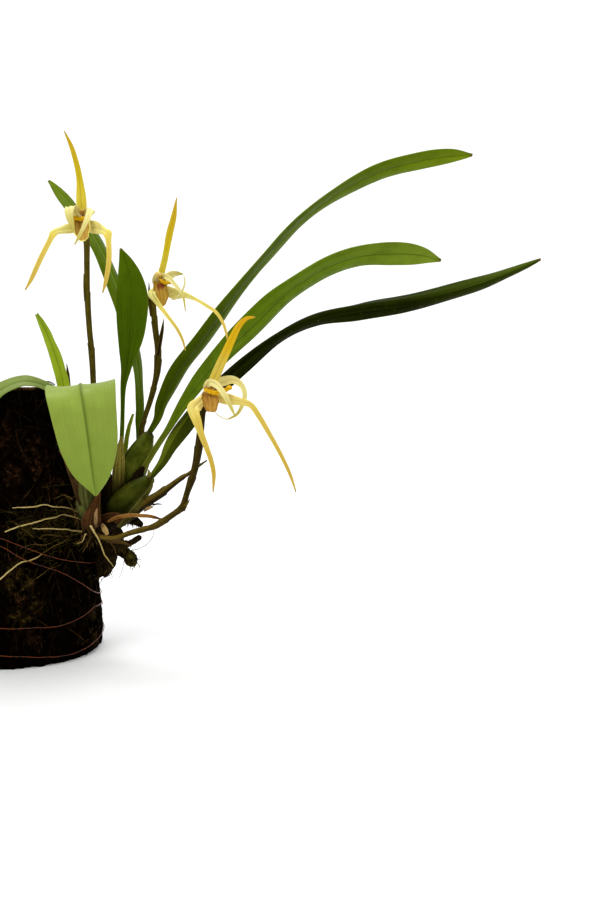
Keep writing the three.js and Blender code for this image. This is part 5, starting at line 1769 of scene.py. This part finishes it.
@dataclass
class Flower:
    """One flower: column, lip with its crest, two petals and three sepals.

    The pale sepals are passed the petals' slot, which is not used.
    """

    name: str
    column: Rows
    lip: Rows
    lip_finish: Finish
    crest: Rows
    petals: dict[str, tuple[Rows, Finish, Row | None]]
    sepals: dict[str, tuple[Rows, Finish]]
    sepal_slot: Slot
    threads: dict[str, Rows] = field(default_factory=dict)
    pale: tuple[str, ...] = ()

    def label(self, part: str) -> str:
        """Name of one of the flower's parts."""
        return f"{self.name}_{part}"

    def fit(self, part: str, slot: Slot, forms: Sequence[Form]) -> None:
        """Build a part from its forms and settle it in its solid's place."""
        piece = join(self.label(part), [form.build() for form in forms])
        settle(piece, slot, "flower_" + self.label(part))

    def build(self) -> None:
        """Make and settle the flower's parts."""
        post = Stalk(self.label("post"), self.column, COLUMN_CREAM, (18, 40), knobs=0.08, tip=0.22)
        settle(post.build(), Slot.COLUMN, "flower_" + self.label("column"))
        lip = Blade(self.label("trough"), self.lip, self.lip_finish, cells=(26, 60), wall=0.45,
                    bow=-0.13, wave=0.3, waves=3, groove=0.0, roll=0.1)
        crest = Stalk(self.label("crest"), self.crest, CREST_YELLOW, (14, 60), knobs=0.3,
                      wander=0.35, tip=0.12, seed=4.0)
        self.fit("lip", Slot.LIP, [lip, crest])
        for label, (rows, finish, across) in self.petals.items():
            forms: list[Form] = [Blade(
                self.label(label), rows, finish, across=across, cells=(14, 90), wall=0.36,
                bow=0.12, wave=0.12, waves=4, groove=0.03, roll=0.1)]
            if label in self.threads:
                forms.append(Stalk(self.label(label + "_thread"), self.threads[label], finish,
                                   (8, 60)))
            self.fit(label, Slot.PETAL, forms)
        for label, (rows, finish) in self.sepals.items():
            blade = Blade(self.label(label), rows, finish, cells=(14, 110), wall=0.4, bow=0.14,
                          wave=0.1, waves=3, groove=0.02, roll=0.14)
            self.fit(label, Slot.PETAL if label in self.pale else self.sepal_slot, [blade])


LEFT_FLOWER = Flower(
    name="left",
    column=(
        (40.8, -23.6, 211.2, 1.2), (41, -25, 211.5, 1.9), (41.4, -27, 211.8, 1.5),
        (41.8, -29.4, 212, 1.5), (42.1, -31, 212, 1.1)),
    lip=(
        (41.8, -27.8, 209.8, 3.9, 32), (42.5, -31, 206, 4.3, 34), (43, -33.6, 202.3, 4.1, 34),
        (43.4, -35.4, 199.4, 2.8, 26), (43.6, -36.2, 197.9, 0.9, 18)),
    lip_finish=LIP_OCHRE,
    crest=(
        (36.4, -29.8, 210.6, 0.7), (38.6, -31, 209.5, 1), (40.8, -31.8, 208.8, 1),
        (43, -31.8, 208.8, 1), (45.8, -30.6, 209.8, 0.7)),
    petals={
        "petal_left": ((
            (39, -26, 211.5, 1.5, 8), (38, -28.5, 213.6, 2.6, 8), (37.6, -31.5, 214.6, 2.6, 8),
            (37.4, -35, 213.5, 2.3, 8), (37.5, -37, 210.5, 1.9, 8), (38.2, -37.5, 207.2, 1.4, 8),
            (39.9, -37, 202.8, 0.3, 5)), PETAL_CREAM, (1, 0, 0.15)),
        "petal_right": ((
            (42.9, -26, 211.7, 1.5, 8), (45.1, -29, 213, 2.3, 8), (46.6, -32.5, 213.3, 2, 8),
            (47, -36.5, 211.5, 1.6, 8), (46.3, -40, 207.3, 1.2, 10), (44.9, -42, 202.9, 0.9, 10),
            (43.1, -43, 198.8, 0.6, 8), (41, -42, 195.6, 0.18, 5)), PETAL_CREAM, (0.9, 0, -0.4))},
    sepals={
        "sepal_top": ((
            (40.8, -24.4, 213, 2.4, 20), (40.8, -26, 219.3, 2.3, 18), (40.7, -28, 227.1, 1.5, 20),
            (39.9, -30, 233.5, 1.25, 22), (38.2, -32, 240.7, 1, 20), (35.3, -34, 247.7, 0.16, 10)),
            SEPAL_YELLOW),
        "sepal_left": ((
            (39.4, -25.2, 206.4, 2.4, 12), (36.4, -29.4, 204.8, 2.4, 12),
            (33.4, -33, 203.4, 1.8, 10), (31.2, -36, 202.2, 1.4, 6), (30.1, -37, 200.9, 1.6, 6),
            (29, -37.6, 198.4, 1.2, 12), (24.3, -38, 189.2, 1.1, 16), (19.9, -36, 181.3, 0.9, 16),
            (15.9, -33, 176.2, 0.18, 10)), SEPAL_SIDE),
        "sepal_right": ((
            (43.6, -25.2, 206.6, 2.7, 12), (47.6, -29, 205.2, 2.9, 12),
            (51.2, -33, 203.6, 2.1, 10), (53.9, -36.2, 202, 1.6, 6), (55, -37.2, 200.9, 1.95, 6),
            (55.6, -38, 197.8, 1.25, 12), (55.9, -39, 189.2, 1.1, 16), (54, -37, 180.3, 0.9, 16),
            (51.7, -34, 174.7, 0.18, 10)), SEPAL_SIDE)},
    sepal_slot=Slot.SEPAL)

MIDDLE_FLOWER = Flower(
    name="middle",
    column=(
        (72.4, -6.9, 181, 1.5), (72.8, -8.2, 182.8, 2.3), (73.7, -10.2, 184.8, 2.4),
        (74.9, -12.6, 184.8, 1.8), (75.7, -14.1, 183.6, 1.15)),
    lip=(
        (74.8, -10.6, 182.4, 3.2, 36), (75.7, -12.8, 178.6, 3.7, 36),
        (76.4, -14.2, 174.6, 3.4, 36), (76.2, -15, 171.6, 2, 28), (76, -15.2, 170.4, 0.6, 18)),
    lip_finish=LIP_MARKED,
    crest=(
        (75, -13.4, 183.6, 0.5), (76.8, -14.2, 182, 0.85), (78.8, -14.4, 181.6, 0.95),
        (80.6, -14.4, 182, 0.9), (82, -14.2, 182.6, 0.5)),
    petals={
        "petal_near": ((
            (75.5, -11, 185.2, 1.4, 20), (79, -14, 184, 1.4, 24), (82.2, -17, 181, 1.05, 24),
            (85.2, -19, 177.4, 0.8, 22), (87.2, -20, 173.7, 0.55, 18), (88, -19, 167.6, 0.16, 10)),
            PETAL_CREAM, None),
        "petal_far": ((
            (74.4, -6.2, 183.4, 1.2, 20), (78.8, -4.6, 186, 1.9, 24), (81.7, -4, 187, 1.3, 20),
            (84.9, -3, 186.9, 0.2, 10)), PETAL_CREAM, None)},
    sepals={
        "sepal_top": ((
            (74.2, -7.6, 183.6, 1.7, 20), (76.5, -9.5, 191, 1.5, 18), (78.2, -11, 197.5, 1.45, 18),
            (79.8, -12, 205, 1.6, 18), (81.9, -13, 212.4, 1.35, 18), (83.6, -14, 221.8, 0.14, 10)),
            SEPAL_YELLOW),
        "sepal_left": ((
            (73, -9, 181, 0.8, 20), (72.3, -12.4, 178.4, 1.1, 24), (71.7, -15.6, 176, 2, 24),
            (74.2, -21, 172.4, 1.4, 24), (78.3, -25, 167.4, 0.9, 22), (82, -27, 162.8, 0.75, 20),
            (85, -27.2, 158.6, 0.7, 20), (87.4, -26.3, 153.6, 0.55, 18),
            (88.4, -24.6, 148.7, 0.16, 10)), SEPAL_SIDE),
        "sepal_right": ((
            (75.2, -7.4, 179.8, 1.7, 14), (81.2, -9.6, 176.8, 2.6, 14),
            (87, -12.6, 175.8, 1.5, 16), (92.6, -15.8, 173.4, 0.8, 20),
            (98, -18.6, 170.2, 0.75, 22), (102.6, -21.2, 167, 0.75, 22),
            (105.8, -23, 162.4, 0.7, 22), (107.6, -24.2, 157.6, 0.55, 18),
            (108.2, -24.6, 153.8, 0.16, 10)), SEPAL_SIDE)},
    sepal_slot=Slot.SEPAL,
    threads={
        "petal_near": (
            (80.9, -17, 173.2, 0.18), (83.4, -18.2, 173.6, 0.35), (86, -19, 176.3, 0.5),
            (87.7, -18.7, 180.9, 0.4), (87.1, -17.6, 184.8, 0.15))},
    pale=("sepal_right",))

RIGHT_FLOWER = Flower(
    name="right",
    column=(
        (99.8, -40.8, 128.4, 1.2), (100.4, -41.8, 129.3, 2), (101.2, -43.4, 130.4, 1.5),
        (102.4, -46, 131.7, 1.5), (103.3, -48, 132.3, 1.1)),
    lip=(
        (101.8, -44.8, 129, 3.3, 34), (102.5, -48.4, 126.2, 4.1, 36), (102.9, -51, 123.6, 3.8, 34),
        (102.9, -52.6, 121.6, 2.9, 26), (102.8, -53.2, 120.6, 1.6, 18)),
    lip_finish=LIP_BROWN,
    crest=(
        (99.6, -47.8, 130.8, 0.7), (102.2, -49.8, 129.8, 1), (104.6, -50.6, 129, 1.05),
        (106.8, -50.6, 129.6, 1), (108.8, -50, 129.9, 1), (110.6, -49.4, 131, 1.2),
        (112.2, -48.8, 131.5, 0.8)),
    petals={
        "petal_near": ((
            (99.9, -45.6, 131, 1.4, 20), (102.4, -50.6, 133.6, 1.7, 24),
            (106.3, -55, 132.1, 1.5, 24), (109.6, -58, 127.9, 1.2, 22),
            (112.3, -59, 122.9, 0.85, 18), (114, -59, 119, 0.18, 10)), PETAL_CREAM, None),
        "petal_far": ((
            (103.3, -40.2, 132.2, 1.5, 20), (106.8, -38.5, 134, 2.2, 20),
            (111.3, -38, 134.9, 1.9, 20), (115.4, -39, 132.8, 1.4, 20),
            (117.3, -40.5, 128.6, 1.15, 20), (116.5, -42, 124, 0.95, 18),
            (113.9, -43.5, 119.3, 0.65, 14), (109.9, -44.5, 117, 0.25, 10)), PETAL_CREAM, None)},
    sepals={
        "sepal_top": ((
            (101.4, -41.2, 131, 1.9, 16), (103.9, -41.5, 136.3, 2.1, 16),
            (106.7, -42, 142.5, 2.05, 16), (109.5, -42.5, 148.3, 1.85, 18),
            (112.2, -43.5, 154.1, 1.6, 18), (115.1, -45, 159.1, 1.3, 16),
            (118.5, -47, 162.1, 0.8, 14), (122.5, -49, 162.7, 0.2, 10)), SEPAL_DEEP),
        "sepal_left": ((
            (99.1, -43.4, 126.6, 1.9, 8), (97.2, -48, 124.6, 2.3, 6), (95.4, -50.6, 122.4, 3.1, 4),
            (95.5, -52.2, 119.8, 2.3, 4), (96.8, -53.6, 116.6, 1.95, 8),
            (98.4, -54, 111.7, 1.4, 12), (101, -54, 104.8, 1.15, 14), (102.9, -53.5, 99.2, 1, 14),
            (104, -52, 92.6, 0.85, 14), (103.4, -50, 84.4, 0.16, 10)), SEPAL_DEEP_SIDE),
        "sepal_right": ((
            (101.8, -42.4, 128, 1.6, 12), (108.7, -46, 126.4, 2.5, 12),
            (115.2, -49.4, 125.2, 1.7, 12), (120.2, -51.2, 123.8, 1.25, 12),
            (123.4, -52, 120, 1.15, 14), (128.2, -52, 112, 1, 20), (133.6, -51, 102.1, 0.85, 20),
            (138, -50, 92.6, 0.65, 16), (140.7, -48, 84.3, 0.18, 10)), SEPAL_DEEP_SIDE)},
    sepal_slot=Slot.SEPAL_DEEP,
    threads={
        "petal_far": (
            (110.4, -44.4, 117.3, 0.3), (108.4, -44.8, 117.2, 0.25), (105.5, -46, 119, 0.2),
            (103.2, -47.6, 122.4, 0.15))})


# Studio


@dataclass(frozen=True)
class Lamp:
    """Soft rectangular light aimed at a point."""

    name: str
    spot: Row
    aim: Row
    size: tuple[float, float]
    power: float

    def build(self) -> None:
        """Add the light."""
        data = bpy.data.lights.new(self.name, "AREA")
        data.shape = "RECTANGLE"
        data.size, data.size_y = self.size
        data.energy = self.power
        lamp = bpy.data.objects.new(self.name, data)
        bpy.context.scene.collection.objects.link(lamp)
        lamp.location = self.spot
        beam = Vector(self.aim) - Vector(self.spot)
        lamp.rotation_euler = beam.to_track_quat("-Z", "Y").to_euler()


@dataclass(frozen=True)
class Studio:
    """Pale floor that sweeps up behind, soft lights and the camera."""

    camera_spot: Row = (0.1425, -0.475, 0.1325)
    camera_drop: float = 3.914
    lens: float = 38.0
    glow: float = 0.55
    reach: float = 2.2
    lamps: Sequence[Lamp] = (
        Lamp("key", (-0.5, -0.7, 1.1), (0.1, 0, 0.12), (0.6, 0.6), 8.0),
        Lamp("fill", (1.1, -0.8, 0.6), (0.1, 0, 0.12), (0.9, 0.9), 2.6),
        Lamp("top", (0.1, 0.3, 1.4), (0.1, 0.1, 0.1), (0.8, 0.8), 9.0),
        Lamp("wall", (0.1, 0.5, 1.7), (0.1, 1.6, 0.4), (1.6, 0.6), 12.0))

    def sweep(self, u: float, v: float) -> Vector:
        """Point of the floor and of the wall that it curves into."""
        way = u * 2 * self.reach
        bend, start = 0.6, 1.4 * self.reach
        x = v * 1.6 * self.reach
        if way < start:
            y, z = way - self.reach, 0.0
        elif way < start + bend * math.pi / 2:
            turn = (way - start) / bend
            y, z = start - self.reach + bend * math.sin(turn), bend * (1 - math.cos(turn))
        else:
            y, z = start - self.reach + bend, bend + (way - start - bend * math.pi / 2) * 3
        return Vector((x, y, z)) / MM

    def build(self) -> None:
        """Make the studio."""
        floor = lay_grid("floor", 4, 60, self.sweep)
        soften(floor, 80)
        WARDROBE.dress(floor, Ground("studio_floor", tone(242, 242, 242)))
        for lamp in self.lamps:
            lamp.build()
        world = bpy.data.worlds.new("studio_air")
        world.use_nodes = True
        air = world.node_tree.nodes["Background"]
        air.inputs["Color"].default_value = (1.0, 1.0, 1.0, 1.0)
        air.inputs["Strength"].default_value = self.glow
        bpy.context.scene.world = world
        data = bpy.data.cameras.new("camera")
        data.lens = self.lens
        data.sensor_width = 36.0
        data.clip_start = 0.01
        data.clip_end = 20.0
        camera = bpy.data.objects.new("camera", data)
        camera.location = self.camera_spot
        camera.rotation_euler = (math.radians(90 - self.camera_drop), 0.0, 0.0)
        bpy.context.scene.collection.objects.link(camera)
        bpy.context.scene.camera = camera
        bpy.context.scene.view_settings.view_transform = "Standard"


def main() -> None:
    """Load the solids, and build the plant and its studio."""
    logging.basicConfig(level=logging.INFO, format="%(name)s: %(message)s")
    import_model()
    Studio().build()
    bark = FibreLog()
    bark.build()
    RootStock().build(bark)
    for form, slot, nodes in leaves():
        settle(form.build(), slot, *nodes)
    for parts, name, node in stalks():
        settle(join(name, [part.build() for part in parts]), Slot.SCAPE, node)
    for form, slot, nodes in wrappings():
        settle(form.build(), slot, *nodes)
    for flower in (LEFT_FLOWER, MIDDLE_FLOWER, RIGHT_FLOWER):
        flower.build()


if __name__ == "__main__":
    main()
